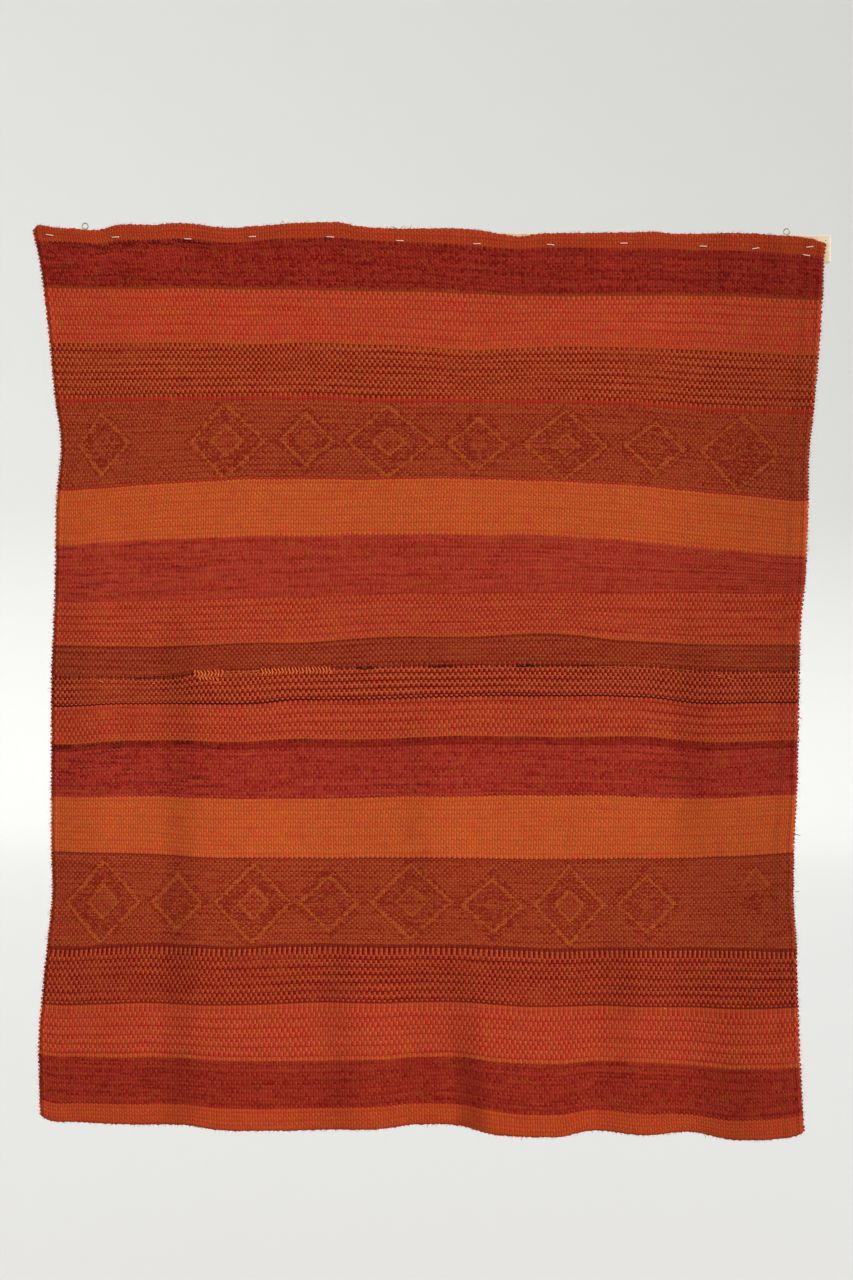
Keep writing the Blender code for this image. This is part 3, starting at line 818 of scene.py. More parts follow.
def mesh_from(name, points, faces, weave):
    """A smooth mesh from points in millimetres and faces. In its Weave map U counts wefts and V warps."""
    mesh = bpy.data.meshes.new(name)
    corners = faces.astype(np.int32).ravel()
    mesh.vertices.add(len(points))
    mesh.vertices.foreach_set("co", (points * MM).astype(np.float32).ravel())
    mesh.loops.add(faces.size)
    mesh.loops.foreach_set("vertex_index", corners)
    mesh.polygons.add(len(faces))
    mesh.polygons.foreach_set("loop_start", np.arange(0, faces.size, faces.shape[1], dtype=np.int32))
    mesh.update(calc_edges=True)
    mesh.shade_smooth()
    add_map(mesh, "Weave", weave[corners])
    mesh.uv_layers["Weave"].active_render = True
    return mesh


def add_map(mesh, name, places):
    """A map by the places of the faces' corners."""
    mesh.uv_layers.new(name=name).data.foreach_set("uv", places.astype(np.float32).ravel())


def add_bake_map(mesh, share, faces, front_faces):
    """A second map that lays the front, the back and the rim out in bands with no overlap."""
    rim_faces = len(faces) - 2 * front_faces
    ring, step = np.divmod(np.arange(rim_faces), rim_faces // 2)
    rim_u = np.stack((step, step + 1, step + 1, step), axis=-1) / (rim_faces // 2)
    rim_v = np.stack((ring, ring, ring + 1, ring + 1), axis=-1) / 2
    on_grids = share[faces[:2 * front_faces]]
    u = np.concatenate((on_grids[..., 0], rim_u))
    v = np.concatenate((1 - on_grids[..., 1], rim_v))
    low, tall = np.repeat(BAKE_BANDS, (front_faces, front_faces, rim_faces), axis=0).T[..., None]
    add_map(mesh, "OFBake", np.stack((BAKE_MARGIN + (1 - 2 * BAKE_MARGIN) * u, low + tall * v), axis=-1))


class Tubes:
    """Short lengths of yarn, gathered into one mesh. Each tube keeps its own place in the weave's map."""

    def __init__(self, sides):
        self.sides = sides
        self.points = []
        self.weave = []
        self.faces = []
        self.count = 0

    def add(self, paths, radii, across_axis, weave):
        """Tubes along paths (tube, point, xyz) in millimetres, whose rings start off towards across_axis."""
        tubes, steps, _ = paths.shape
        tangent = unit(np.gradient(paths, axis=1))
        aside = np.broadcast_to(np.asarray(across_axis, dtype=float), paths.shape)
        aside = unit(aside - (aside * tangent).sum(axis=2, keepdims=True) * tangent)
        other = np.cross(tangent, aside)
        turn = (2 * math.pi * np.arange(self.sides) / self.sides)[:, None]
        ring = np.cos(turn) * aside[:, :, None] + np.sin(turn) * other[:, :, None]
        radii = np.broadcast_to(radii, (tubes, steps))
        self.points.append((paths[:, :, None] + radii[:, :, None, None] * ring).reshape(-1, 3))
        numbers = self.count + np.arange(tubes * steps * self.sides).reshape(tubes, steps, self.sides)
        first = numbers[:, :-1]
        second = numbers[:, 1:]
        faces = np.stack((first, np.roll(first, -1, 2), np.roll(second, -1, 2), second), axis=-1)
        self.faces.append(faces.reshape(-1, 4))
        for corner in range(1, self.sides - 2, 2):
            self.faces.append(numbers[:, 0][:, (0, corner + 2, corner + 1, corner)])
            self.faces.append(numbers[:, -1][:, (0, corner, corner + 1, corner + 2)])
        weft = weave[:, 0, None, None] + np.linspace(0.0, 1.0, steps)[:, None]
        warp = weave[:, 1, None, None]
        in_weave = np.stack(np.broadcast_arrays(weft, warp, numbers)[:2], axis=-1)
        self.weave.append(in_weave.reshape(-1, 2))
        self.count += numbers.size

    def build(self, name, material, slot):
        """The gathered tubes as one object that hangs with the cloth."""
        parts = (np.concatenate(part) for part in (self.points, self.faces, self.weave))
        made = linked(name, mesh_from(name, *parts))
        dress(made, material)
        return attach(made)


def unit(vectors):
    """Vectors made one long."""
    return vectors / np.linalg.norm(vectors, axis=-1, keepdims=True)


def scatter(chance, most, count=None):
    """Random numbers, each up to most on either side of 0."""
    return chance.uniform(-most, most, count)


def loom_loops(panel, chance):
    """The warps' turns along both loom ends: each pair of warps is one yarn that goes out and comes back."""
    tubes = Tubes(sides=6)
    warps = np.arange(panel.warps).reshape(-1, 2) + 0.5
    pairs = len(warps)
    turn = math.pi * np.arange(LOOP_POINTS) / (LOOP_POINTS - 1)
    for edge_weft, outward in ((0.0, -1.0), (float(WEFTS), 1.0)):
        edge = np.full(warps.shape, edge_weft)
        x, z, back, thick, _ = depths_at(panel, edge, warps)
        root_x, root_z, root_back, root_thick, _ = depths_at(panel, edge - outward * LOOP_ROOT_WEFTS, warps)
        reach = LOOP_TURN + chance.uniform(*LOOP_REACH_SPREAD, pairs)
        depth = (back - thick / 2)[:, :1] + scatter(chance, LOOP_DEPTH_SPREAD, pairs)[:, None]
        ends = np.stack((x, np.repeat(depth, 2, axis=1), z), axis=-1)
        middle = ends.mean(axis=1, keepdims=True)
        arc = middle + (ends[:, :1] - middle) * np.cos(turn)[:, None]
        arc[..., 0] += outward * reach[:, None] * np.sin(turn)
        roots = np.stack((root_x, root_back - root_thick / 2, root_z), axis=-1)
        radius = LOOP_RADIUS * chance.uniform(*LOOP_RADIUS_SPREAD, pairs)
        map_weft = edge_weft + outward * LOOP_MAP_WEFTS - 0.5
        weave = np.column_stack((np.full(pairs, map_weft), warps[:, 0]))
        paths = np.concatenate((roots[:, :1], arc, roots[:, 1:]), axis=1)
        tubes.add(paths, radius[:, None], (0, 1, 0), weave)
    return tubes


def edge_fibres(panel, chance):
    """Fine fibres that stand out of the cloth's outer edges."""
    count = FIBRES_PER_PANEL
    rim_warp, rim_way = (0.0, 90.0) if panel is UPPER else (float(panel.warps), -90.0)
    on_rim = chance.random(count) < 0.5
    end = np.where(chance.random(count) < 0.5, 0.0, float(WEFTS))
    weft = np.where(on_rim, chance.uniform(0.0, WEFTS, count), end)
    warp = np.where(on_rim, rim_warp, chance.uniform(0.0, panel.warps, count))
    across, height, back, thickness, _ = depths_at(panel, weft, warp)
    spot = np.stack((across, back - thickness * chance.random(count), height), axis=-1)
    side_way = np.where(end == 0.0, 180.0, 0.0)
    way = np.radians(np.where(on_rim, rim_way, side_way) + chance.normal(0.0, FIBRE_LEAN, count))
    length = chance.uniform(*FIBRE_LENGTHS, count) + np.where(on_rim, 0.0, LOOP_REACH)
    bend = np.radians(chance.normal(0.0, FIBRE_BEND, count))
    forward = chance.normal(0.0, FIBRE_FORWARD, count)
    path = []
    for share in np.linspace(0.0, 1.0, len(FIBRE_TAPER)):
        path.append(spot)
        angle = way + bend * share
        stride = np.stack((np.cos(angle), -forward * share, np.sin(angle)), axis=-1)
        spot = spot + stride * length[:, None] / (len(FIBRE_TAPER) - 1)
    tubes = Tubes(sides=4)
    tubes.add(np.stack(path, axis=1), FIBRE_RADIUS * FIBRE_TAPER, (0, 1, 0), np.column_stack((weft, warp)))
    return tubes


def stitch_paths(across, height, half_height, lean, lift):
    """Short stitches over the cloth's front: up through it, over its face, and down through it again."""
    step = np.linspace(-1.0, 1.0, STITCH_POINTS)
    xs = across[:, None] + lean[:, None] * step
    zs = height[:, None] + half_height * step
    ys = cloth_back(xs, zs) - CLOTH_THICKNESS + STITCH_DEPTH
    ys = ys - (STITCH_DEPTH + lift) * (1 - step ** 2) ** STITCH_ROUNDNESS
    return np.stack((xs, ys, zs), axis=-1)


def seam_stitches(chance):
    """The yarn that joins the panels: slanted stitches across the seam from end to end."""
    left, right = woven_sides(seam_at(0.0))
    across = np.arange(left + STITCH_FROM_SIDE, right - STITCH_FROM_SIDE, STITCH_PITCH)
    across = across + scatter(chance, STITCH_PITCH_SPREAD, len(across))
    lean = STITCH_LEAN * np.where(np.arange(len(across)) % 2, 1.0, STITCH_SHORTER_LEAN)
    lean = lean + scatter(chance, STITCH_LEAN_SPREAD, len(across))
    weft = np.floor(WEFTS * (across - left) / (right - left))
    weave = np.column_stack((weft, np.full(len(across), UPPER.warps - STITCH_LOOK_WARPS)))
    tubes = Tubes(sides=4)
    paths = stitch_paths(across, seam_at(across), STITCH_HALF_HEIGHT, lean, STITCH_RADIUS / 2)
    tubes.add(paths, STITCH_RADIUS, (1, 0, 0), weave)
    return tubes


def mend_stitches(chance):
    """Rows of thick slanted stitches where the seam was mended."""
    tubes = Tubes(sides=6)
    for first, last, first_height, last_height, rows, row_pitch in MENDS:
        for row in range(rows):
            across = np.arange(first, last, MEND_PITCH) + scatter(chance, MEND_ROW_SPREAD)
            share = (across - first) / (last - first)
            height = first_height + (last_height - first_height) * share - row * row_pitch
            height = height + scatter(chance, MEND_ROW_SPREAD, len(across))
            across = across + scatter(chance, MEND_PITCH_SPREAD, len(across))
            lean = MEND_LEAN * (1 if row % 2 else -1) + scatter(chance, MEND_LEAN_SPREAD, len(across))
            radius = MEND_RADIUS * chance.uniform(*MEND_RADIUS_SPREAD, len(across))
            paths = stitch_paths(across, height, MEND_HALF_HEIGHT, lean, MEND_RADIUS / 2)
            tubes.add(paths, radius[:, None], (1, 0, 0), np.column_stack((across, height)))
    return tubes


def thread_path(first, last, first_height, last_height, radius, chance):
    """One thread that lies along the seam, dipping into the cloth here and there."""
    steps = max(THREAD_LEAST_STEPS, int((last - first) / THREAD_STEP))
    xs = np.linspace(first, last, steps)
    waver = THREAD_WAVER + THREAD_WAVER_BY_RADIUS * radius
    zs = np.linspace(first_height, last_height, steps) + chance.normal(0.0, waver, steps)
    dip = THREAD_DIP * np.sin(np.arange(steps) * THREAD_DIP_RATE + chance.uniform(*THREAD_DIP_STARTS))
    ys = cloth_back(xs, zs) - CLOTH_THICKNESS - radius * (THREAD_LIFT + dip)
    ys[[0, -1]] += 2 * radius
    return np.stack((xs, ys, zs), axis=-1)[None]


def loose_path(across, height, way, length, radius, chance):
    """A loose yarn end: it leaves the cloth's face and curls on its way."""
    steps = len(LOOSE_TAPER)
    bend = math.radians(scatter(chance, LOOSE_BEND))
    face = float(cloth_back(np.array(across), np.array(height))) - CLOTH_THICKNESS
    spot = np.array((across, face + radius, height))
    path = []
    for step in range(steps):
        path.append(spot)
        heading = math.radians(way) + bend * (step / steps) ** LOOSE_CURL
        leaving = -LOOSE_FORWARD if step < 2 else LOOSE_BACK
        stride = np.array((math.cos(heading), leaving, math.sin(heading)))
        spot = spot + stride * length / (steps - 1)
    return np.array(path)[None]


def add_strays(tubes, chance):
    """The seam's threads and all the loose ends, each into the tubes of its own yarn."""
    for first, last, first_height, last_height, radius, kind in THREADS:
        path = thread_path(first, last, first_height, last_height, radius, chance)
        radii = radius * chance.uniform(*THREAD_RADIUS_SPREAD, path.shape[1])
        tubes[kind].add(path, radii, (0, 1, 0), np.array([[first, first_height]]))
    for across, height, way, length, radius, kind in LOOSE_ENDS:
        path = loose_path(across, height, way, length, radius, chance)
        tubes[kind].add(path, radius * LOOSE_TAPER, LOOSE_RINGS_TOWARDS, np.array([[across, height]]))


# Materials

class Wire:
    """One number or colour in a material's nodes. Arithmetic on it adds Math nodes."""

    def __init__(self, tree, socket):
        self.tree = tree
        self.socket = socket

    def math(self, operation, *others):
        return add_node(self.tree, "Math", (self, *others), operation=operation)

    __add__ = __radd__ = partialmethod(math, "ADD")
    __sub__ = partialmethod(math, "SUBTRACT")
    __mul__ = __rmul__ = partialmethod(math, "MULTIPLY")
    floor = partialmethod(math, "FLOOR")
    fraction = partialmethod(math, "FRACT")
    modulo = partialmethod(math, "FLOORED_MODULO")
    power = partialmethod(math, "POWER")
    absolute = partialmethod(math, "ABSOLUTE")
    sine = partialmethod(math, "SINE")
    above = partialmethod(math, "GREATER_THAN")
    below = partialmethod(math, "LESS_THAN")
    larger = partialmethod(math, "MAXIMUM")
    smaller = partialmethod(math, "MINIMUM")
    near = partialmethod(math, "COMPARE")

    def __rsub__(self, other):
        return self * -1.0 + other

    def clamped(self):
        return self.larger(0.0).smaller(1.0)

    def rising(self, start, slope):
        """0 up to start, and from there up by slope to 1."""
        return ((self - start) * slope).clamped()

    def between(self, low, high):
        """1 between two numbers, and 0 elsewhere."""
        return self.near((low + high) / 2, (high - low) / 2)

    def off_middle(self):
        """0 in the middle of every whole step, and 1 at its ends."""
        return (self.fraction() * 2.0 - 1.0).absolute()


def feed(socket, value):
    """Link a wire to a socket, or set the socket's own value."""
    if isinstance(value, Wire):
        value.tree.links.new(value.socket, socket)
    else:
        socket.default_value = value


def add_node(tree, kind, inputs=(), output=0, **settings):
    """A new node with its settings and inputs, by number or by name, and the wire from one of its outputs."""
    node = tree.nodes.new("ShaderNode" + kind)
    for setting, value in settings.items():
        setattr(node, setting, value)
    for key, value in inputs.items() if isinstance(inputs, dict) else enumerate(inputs):
        feed(node.inputs[key], value)
    return Wire(tree, node.outputs[output])


def combine(x, y, z=0.0):
    """Three numbers as one vector."""
    return add_node(x.tree, "CombineXYZ", (x, y, z))


def separate(vector):
    """A vector's three numbers."""
    first = add_node(vector.tree, "SeparateXYZ", (vector,))
    return [Wire(vector.tree, output) for output in first.socket.node.outputs]


def noise(vector, detail):
    """Smooth noise, mostly between 0.2 and 0.8."""
    return add_node(vector.tree, "TexNoise", {"Vector": vector, "Scale": 1.0, "Detail": detail})


def weave_noise(name, weft, warp):
    """Smooth noise along the weave, mostly between -0.3 and 0.3."""
    per_weft, per_warp, offset, detail = NOISES[name]
    return noise(combine(weft * per_weft, warp * per_warp, offset), detail) - 0.5


def white(vector):
    """A new random number between 0 and 1 for every vector."""
    return add_node(vector.tree, "TexWhiteNoise", (vector,), noise_dimensions="3D")


def mix(share, first, second):
    """Two colours mixed."""
    inputs = {MIX_SHARE: share, MIX_FIRST: first, MIX_SECOND: second}
    return add_node(share.tree, "Mix", inputs, MIX_RESULT, data_type="RGBA")


def vector_math(operation, vector, *others, output=0):
    """One sum on vectors."""
    return add_node(vector.tree, "VectorMath", (vector, *others), output, operation=operation)


def scaled_colour(colour, factor):
    """A colour made brighter or darker by a number."""
    return add_node(factor.tree, "VectorMath", {0: colour, "Scale": factor}, operation="SCALE")


def ramp(number, stops, interpolation):
    """A colour by a number from 0 to 1, through (position, colour) stops."""
    wire = add_node(number.tree, "ValToRGB", (number,))
    table = wire.socket.node.color_ramp
    table.interpolation = interpolation
    table.elements.remove(table.elements[1])
    for index, (position, colour) in enumerate(stops):
        element = table.elements.new(position) if index else table.elements[0]
        element.position = position
        element.color = (*colour[:3], 1.0)
    return wire


def by_warp(warp, steps):
    """A colour by warp number: steps holds (first warp, colour), and the ramp has one table entry a warp."""
    stops = [(max(0.0, (first - 0.5) / RAMP_STEPS), colour) for first, colour in steps]
    return ramp((warp + 0.5) * (1 / RAMP_STEPS), stops, "CONSTANT")


def across_cloth(weft, stops):
    """A number that changes smoothly across the cloth, through (share of the width, value) stops."""
    grey = ramp(weft * (1 / WEFTS), [(share, (value,) * 3) for share, value in stops], "LINEAR")
    return separate(grey)[0]


def plain(colour, gain=1.0):
    """A colour: everyday 0 to 255 values to the renderer's own."""
    parts = np.array(colour) / 255
    linear = np.where(parts <= 0.04045, parts / 12.92, ((parts + 0.055) / 1.055) ** 2.4)
    return (*np.minimum(1.0, linear * gain).tolist(), 1.0)


def yarn(colour):
    """The colour of a dyed yarn."""
    return plain(colour, YARN_GAIN)


def scaled_yarn(colour, like):
    """A yarn's colour made as bright as another colour."""
    return scaled_colour(yarn(colour)[:3], separate(like)[0] * (1 / yarn(colour)[0]))


def new_material(name):
    """A new material and its node tree."""
    made = bpy.data.materials.new(name)
    made.use_nodes = True
    return made, made.node_tree


def set_shader(tree, values):
    """Link or set the sockets of a material's shader."""
    for name, value in values.items():
        feed(tree.nodes["Principled BSDF"].inputs[name], value)


def finish(tree, colour, roughness, unevenness, height, distance, **uniform):
    """Set a material's colour, its roughness, its bump in metres at a height of 1, and what is uniform."""
    least, rise = roughness
    rough = (unevenness * rise + least).smaller(1.0)
    bump = add_node(tree, "Bump", {"Height": height, "Distance": distance})
    set_shader(tree, {"Base Color": colour, "Roughness": rough, "Normal": bump})
    set_shader(tree, {name.replace("_", " "): value for name, value in uniform.items()})


def object_place(tree):
    """The place on the object in metres, as three numbers."""
    return separate(add_node(tree, "TexCoord", output="Object"))


def diamond_distance(panel, place, across, height, half_width, half_height):
    """How far out of a diamond a float lies: 1 on its line. Also its half sizes and its middle warp."""
    left, right = (panel.weave_of(across + side * half_width, height)[0] for side in (-1, 1))
    top, foot = (panel.weave_of(across, height + side * half_height)[1] for side in (1, -1))
    wide = (right - left) / 2
    tall = (foot - top) / 2
    middle = (top + foot) / 2
    offset = (-(left + right) / 2 / wide, -middle / tall, 0)
    from_middle = vector_math("MULTIPLY_ADD", place, (1 / wide, 1 / tall, 0), offset)
    total = vector_math("DOT_PRODUCT", vector_math("ABSOLUTE", from_middle), (1, 1, 0), output="Value")
    return total, wide, tall, middle


def diamonds_at(panel, weft, warp):
    """Where the diamonds' grounds, the speckle around them and their lines lie, float by float."""
    grounds = []
    halos = []
    lines = []
    place = combine(weft, warp)
    for across, height, half_width, half_height, inner, strength, halo in panel.diamonds:
        distance, wide, _, _ = diamond_distance(panel, place, across, height, half_width, half_height)
        grounds.append(distance.between(inner, 1))
        halos.append(distance.between(1, halo))
        lines.append(distance.near(1.0, LINE_WEFTS / wide))
        if strength:
            lines.append(distance.near(inner, INNER_LINE_WEFTS / wide) * strength)
    if panel is LOWER:
        distance, wide, tall, middle = diamond_distance(panel, place, *PART_DIAMOND)
        line = distance.near(1.0, PART_LINE_WEFTS / wide)
        lines.append(line * warp.below(middle - PART_DIAMOND_TOP * tall))
        lines.append(line * warp.above(middle + PART_DIAMOND_FOOT * tall) * PART_FOOT_STRENGTH)
        halos.append(distance.below(PART_DIAMOND_CORE))
    return [reduce(Wire.larger, group) for group in (grounds, halos, lines)]


def wool(name, panel, figured):
    """Warp-faced wool: floats of two yarns in each stripe, ribs, streaks, speckle and woven diamonds."""
    made, tree = new_material(name)
    u, v, _ = separate(add_node(tree, "UVMap", uv_map="Weave"))
    column = u + weave_noise("wander", u, v) * WEFT_WANDER
    weft = column.floor()
    odd = weft.modulo(2.0)
    lift = (weave_noise("drift", u, v) * ODD_LIFT_SPREAD + ODD_LIFT).clamped()
    thread = v + odd * lift + weave_noise("sway", u, v) * WARP_WANDER
    warp = thread.floor()
    pair = (thread * 0.5).floor()

    bands = [(first, LOOKS[look]) for first, look in panel.bands]
    light, dark = (by_warp(warp, [(first, yarn(look[part])) for first, look in bands]) for part in (0, 1))
    share, check, bars = separate(by_warp(warp, [(first, look[2:5]) for first, look in bands]))
    streak, speckle, dash = separate(by_warp(warp, [(first, look[5:8]) for first, look in bands]))

    left_end = u.below(-PAST_EDGE)
    outside = left_end + u.above(WEFTS + PAST_EDGE)
    cloud = weave_noise("cloud", u, v)
    streaks = weave_noise("streaks", u, warp)
    stretch = weave_noise("stretch", u, warp)
    alternate = (weft + pair).modulo(2.0) - 0.5
    float_noise = white(combine(weft, pair, 1.0)) * PAIR_NOISE - 0.5
    float_noise = float_noise + white(combine(weft, warp, 1.0)) * (1 - PAIR_NOISE)
    evenness = 1.0 - cloud.rising(*CLOUD_RISE) * CLOUD_CALM
    dark_share = share + alternate * check.larger(outside * LOOP_CHECK) * evenness + (odd - 0.5) * bars
    dark_share = dark_share + (streaks * STREAK_GAIN + stretch * STRETCH_GAIN) * streak
    dark_share = dark_share + float_noise * speckle
    colour = mix((dark_share - outside * LOOP_LIGHTER).clamped(), light, dark)
    tinge = weave_noise("tinge", u, v)
    for side, tinge_yarn, most in TINGES:
        tinged = (tinge * side).rising(*TINGE_RISE) * most
        colour = mix(tinged, colour, scaled_yarn(tinge_yarn, colour))

    if figured:
        inside = warp.above(panel.figured[0] + FIGURED_HEAD) * warp.below(panel.figured[1] - FIGURED_FOOT)
        speck = white(combine(weft, warp, 2.0))
        parts = diamonds_at(panel, weft + 0.5, warp + 0.5)
        for part, (part_yarn, left_out, strength) in zip(parts, DIAMOND_PARTS):
            colour = mix(part * inside * speck.above(left_out) * strength, colour, yarn(part_yarn))

    dash = dash * across_cloth(u, DASHES_ACROSS)
    dashes = (stretch + dash * DASH_GAIN).rising(*DASH_RISE) * (dash * 2.0).clamped()
    dashes = dashes * (alternate * DASH_CHECK + DASH_STRENGTH) * thread.fraction().below(DASH_WIDTH)
    colour = mix(dashes, colour, yarn(DASH_YARN))

    off_weft, off_pair, off_warp = (number.off_middle() for number in (column, thread * 0.5, thread))
    # Painted shade in the gaps between wefts, pairs of warps and warps, where shade falls between the floats
    painted_gap_shade = off_weft.power(PAINTED_GAP_SHADE_SHARPNESS) * PAINTED_GAP_SHADE_ACROSS + off_pair.power(PAINTED_GAP_SHADE_SHARPNESS) * PAINTED_GAP_SHADE_ALONG
    painted_gap_shade = painted_gap_shade + off_warp.power(PAINTED_GAP_SHADE_SHARPNESS) * PAINTED_GAP_SHADE_OF_WARPS
    tone = FULL_TONE - painted_gap_shade + float_noise * FLOAT_SPREAD + streaks * STREAK_SPREAD + cloud * CLOUD_SPREAD
    # Tone across the cloth, with painted shade over its right part, and painted light on the loops past the
    # left end
    tone = tone * across_cloth(u, TONE_AND_PAINTED_SHADE_ACROSS) + left_end * LEFT_END_PAINTED_LIGHT
    round_weft, round_pair = (1.0 - off.power(2.0) for off in (off_weft, off_pair))
    fuzz = weave_noise("fuzz", u, v)
    raised = round_weft * RAISED_RIB + round_weft * round_pair * RAISED_FLOAT + fuzz * RAISED_FUZZ
    finish(
        tree, scaled_colour(colour, tone), WOOL_ROUGHNESS, fuzz, raised, WOOL_BUMP,
        Specular_IOR_Level=0.06, Sheen_Weight=0.03, Sheen_Roughness=0.5, Sheen_Tint=yarn(SHEEN_YARN),
    )
    return made


def plain_yarn(name, colour, worn):
    """Loose wool yarn: twisted plies and fibres in two tones."""
    made, tree = new_material(name)
    x, y, z = object_place(tree)
    turns = combine((x + z) * PLY_RATE_ACROSS, y * PLY_RATE_ACROSS, (z - x) * PLY_RATE_ALONG)
    plies = noise(turns, 2.0)
    patches = noise(combine(x * PATCH_RATE, 0.0, z * PATCH_RATE), 1.0)
    shades = ((plies - 0.5) * PLIES_SHOW + (patches - 0.5) * PATCHES_SHOW + 0.5).clamped()
    colour = mix(shades, yarn(worn), yarn(colour))
    finish(
        tree, colour, YARN_ROUGHNESS, plies, plies, YARN_BUMP, Specular_IOR_Level=0.08, Sheen_Weight=0.04,
    )
    return made


def grain_noise(name, place):
    """Smooth noise that runs along X, mostly between 0.2 and 0.8."""
    along, across, detail = GRAINS[name]
    x, y, z = place
    return noise(combine(x * along, y * across, z * across), detail)


def pine():
    """Planed pine: the years' grain lines along the batten, fine pores and a nail's mark."""
    made, tree = new_material("pine_planed")
    x, y, z = place = object_place(tree)
    lines = z * GRAIN_PER_HEIGHT + y * GRAIN_PER_DEPTH + grain_noise("bend", place) * GRAIN_BEND
    grain = ((lines.sine() + 1.0) * 0.5).power(GRAIN_NARROWNESS)
    pores = grain_noise("pores", place)
    from_mark = (x - NAIL_MARK[0] * MM).power(2.0) + (z - NAIL_MARK[1] * MM).power(2.0)
    mark = from_mark.below((NAIL_MARK_RADIUS * MM) ** 2)
    colour = plain(PINE_PALE)
    for layer, (shows, layer_colour) in zip((grain, pores, mark), PINE_LAYERS):
        colour = mix(layer * shows, colour, plain(layer_colour))
    raised = grain * PINE_BUMP_OF_GRAIN + pores * PINE_BUMP_OF_PORES
    finish(tree, colour, PINE_ROUGHNESS, pores, raised, PINE_BUMP)
    return made


def wire_steel(name, bright, dull, metallic):
    """Drawn steel wire with fine lines and a dull film in places."""
    made, tree = new_material(name)
    place = object_place(tree)
    film = grain_noise("film", place)
    colour = mix(film, plain(bright), plain(dull))
    finish(tree, colour, STEEL_ROUGHNESS, film, grain_noise("drawn", place), STEEL_BUMP, Metallic=metallic)
    return made


def dress(thing, *materials):
    """Give an object its materials in place of those it has. Its faces keep their material numbers."""
    while thing.data.materials:
        thing.data.materials.pop()
    for material in materials:
        thing.data.materials.append(material)


# The scene

def attach(thing):
    """Let a piece of the cloth hang with the whole."""
    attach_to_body(thing, "root")
    return thing


def build_cloth():
    """Both panels, each standing for its solid, and the yarn that belongs to them."""
    chance = np.random.default_rng(SEED)
    strays = {"mend": mend_stitches(chance), "dark": Tubes(sides=6)}
    add_strays(strays, chance)
    sheets = {}
    trims = {}
    wools = {}
    for name, panel in (("upper", UPPER), ("lower", LOWER)):
        slot = name + "_wool"
        wools[name] = wool("wool_" + name, panel, figured=False)
        sheets[name] = attach(panel_object("woven_panel_" + name, panel, chance))
        dress(sheets[name], wools[name], wool("wool_figured_" + name, panel, figured=True))
        trims[name] = [
            loom_loops(panel, chance).build("loom_end_loops_" + name, wools[name], slot),
            edge_fibres(panel, chance).build("edge_fibres_" + name, wools[name], slot),
        ]
    trims["lower"] += [
        seam_stitches(chance).build("seam_stitches", wools["upper"], "lower_wool"),
        strays["mend"].build("mending_yarn", plain_yarn("mending_wool", *MEND_YARNS), "lower_wool"),
        # Dark yarn ends, and thick dark threads that also stand as painted shadow in the seam's open slits
        strays["dark"].build("dark_yarn_ends_and_seam_shadow", plain_yarn("dark_wool_and_seam_shadow", *DARK_YARN_AND_SEAM_SHADOW), "lower_wool"),
    ]
    rows = (("upper", FLAT_UPPER, ["batten"]), ("lower", FLAT_LOWER, ["woven_panel_upper"]))
    for name, flat, rests in rows:
        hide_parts(name + "_panel")


def dress_hard_pieces(nodes):
    """Wood and steel for the solids that are shown as they are."""
    finishes = {
        "staple": wire_steel("staple_wire", *STAPLE_COLOURS, metallic=0.10),
        "screw_eye": wire_steel("screw_eye_wire", *SCREW_EYE_COLOURS, metallic=1.0),
        "batten": pine(),
    }
    for name, thing in nodes.items():
        for start, material in finishes.items():
            if name.startswith(start):
                dress(thing, material)


def cove_outline(inset):
    """Plan of the studio's walls, drawn in by an inset: flat walls and round corners."""
    middle = STUDIO_HALF_WIDTH - STUDIO_CORNER
    corner = STUDIO_CORNER - inset
    outline = []
    for turned in (math.pi / 2 * quarter for quarter in range(4)):
        centre_x = middle * (math.cos(turned) - math.sin(turned))
        centre_y = middle * (math.cos(turned) + math.sin(turned))
        for step in range(CORNER_STEPS + 1):
            angle = turned + math.pi / 2 * step / CORNER_STEPS
            outline.append((centre_x + corner * math.cos(angle), centre_y + corner * math.sin(angle)))
    return outline


def studio_cove():
    """A pale floor that bends up into flat walls."""
    profile = []
    for step in range(BEND_STEPS + 1):
        angle = math.pi / 2 * step / BEND_STEPS
        profile.append((STUDIO_BEND * (1 - math.sin(angle)), FLOOR + STUDIO_BEND * (1 - math.cos(angle))))
    profile.append((0.0, WALL_TOP))
    points = [(x, y, height) for inset, height in profile for x, y in cove_outline(inset)]
    sides = len(points) // len(profile)
    faces = [tuple(range(sides))]
    for start in range(0, len(points) - sides, sides):
        for side in range(sides):
            first = start + side
            other = start + (side + 1) % sides
            faces.append((first + sides, other + sides, other, first))
    mesh = bpy.data.meshes.new("cove")
    mesh.from_pydata(points, [], faces)
    mesh.shade_smooth()
    cove = linked("cove", mesh)
    paper, tree = new_material("studio_paper")
    set_shader(tree, {"Base Color": PAPER_COLOUR, "Roughness": 0.9, "Specular IOR Level": 0.1})
    dress(cove, paper)


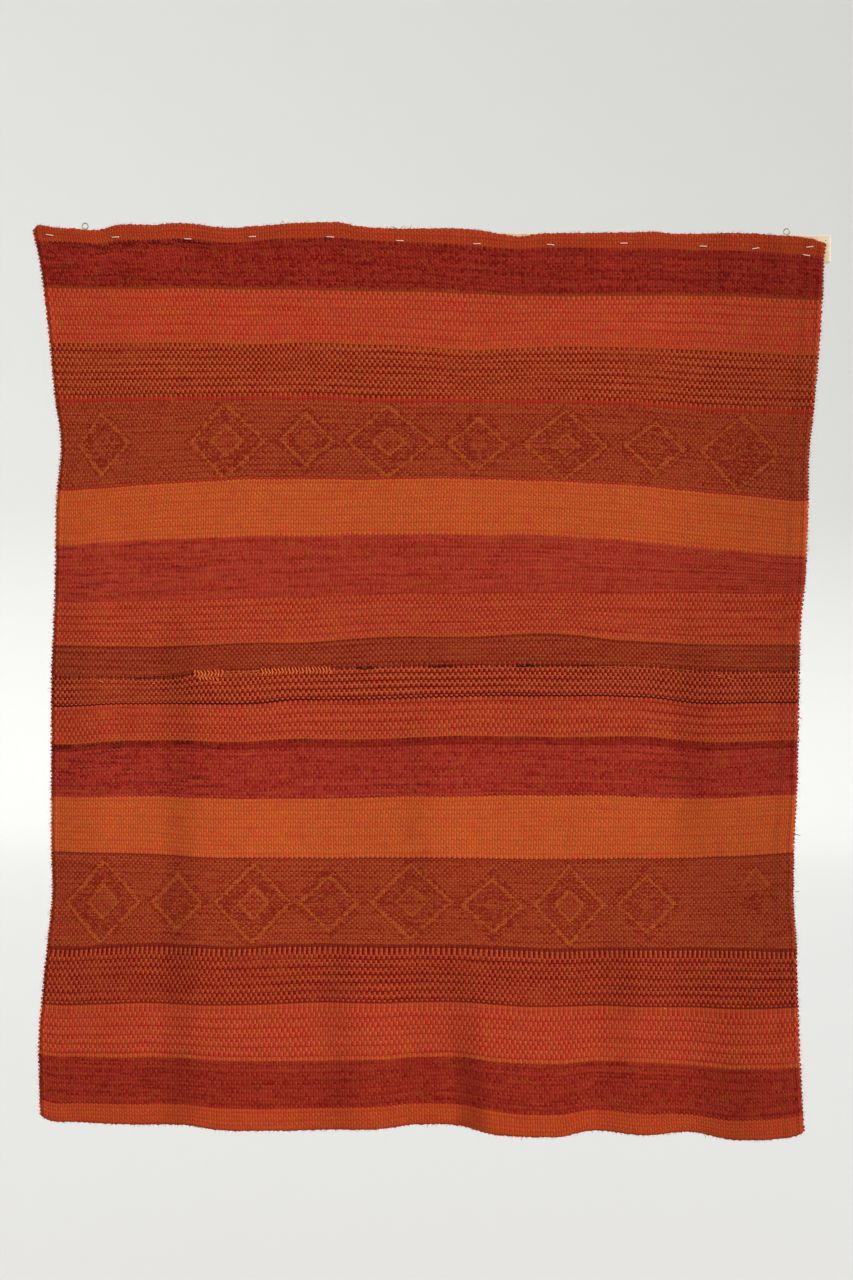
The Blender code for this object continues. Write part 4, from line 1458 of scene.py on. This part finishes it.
def studio_light():
    """Pale air, and a soft key light from the right that shows the folds."""
    world = bpy.data.worlds.new("studio_air")
    world.use_nodes = True
    air = world.node_tree.nodes["Background"].inputs
    air["Color"].default_value = (1.0, 1.0, 1.0, 1.0)
    air["Strength"].default_value = AIR_STRENGTH
    bpy.context.scene.world = world
    lamp = bpy.data.lights.new("key", "SUN")
    lamp.energy = KEY_STRENGTH
    lamp.angle = math.radians(KEY_SOFTNESS)
    side = math.radians(KEY_SIDE)
    above = math.radians(KEY_ABOVE)
    towards = Vector((math.sin(side) * math.cos(above), -math.cos(side) * math.cos(above), math.sin(above)))
    linked("key", lamp).rotation_euler = (-towards).to_track_quat("-Z", "Y").to_euler()


def add_camera():
    """The photograph's camera: square on to the cloth, with the photo's slight roll."""
    cosine = math.cos(CAMERA_ROLL)
    sine = math.sin(CAMERA_ROLL)
    right = PHOTO_WIDTH / 2 - ORIGIN_PIXEL[0]
    down = PHOTO_HEIGHT / 2 - ORIGIN_PIXEL[1]
    across = (right * cosine + down * sine) * MM_PER_PIXEL * MM
    height = -(down * cosine - right * sine) * MM_PER_PIXEL * MM
    plane = -(BATTEN_DEPTH / 2 + CLOTH_THICKNESS + USUAL_HANG) * MM
    distance = PHOTO_HEIGHT * MM_PER_PIXEL * MM * LENS / SENSOR
    data = bpy.data.cameras.new("camera")
    data.lens = LENS
    data.sensor_width = SENSOR
    data.clip_end = 100.0
    camera = linked("camera", data)
    camera.location = (across, plane - distance, height)
    camera.rotation_euler = (math.pi / 2, -CAMERA_ROLL, 0.0)
    bpy.context.scene.camera = camera


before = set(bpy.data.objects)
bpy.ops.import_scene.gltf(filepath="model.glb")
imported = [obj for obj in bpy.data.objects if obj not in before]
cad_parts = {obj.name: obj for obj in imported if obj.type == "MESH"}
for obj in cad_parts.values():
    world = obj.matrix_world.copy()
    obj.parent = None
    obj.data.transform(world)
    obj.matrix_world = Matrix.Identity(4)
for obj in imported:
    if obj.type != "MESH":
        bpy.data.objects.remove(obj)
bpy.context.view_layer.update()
bpy.context.scene.view_settings.view_transform = "Standard"
add_camera()
build_cloth()
dress_hard_pieces(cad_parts)
studio_cove()
studio_light()
bpy.context.view_layer.update()
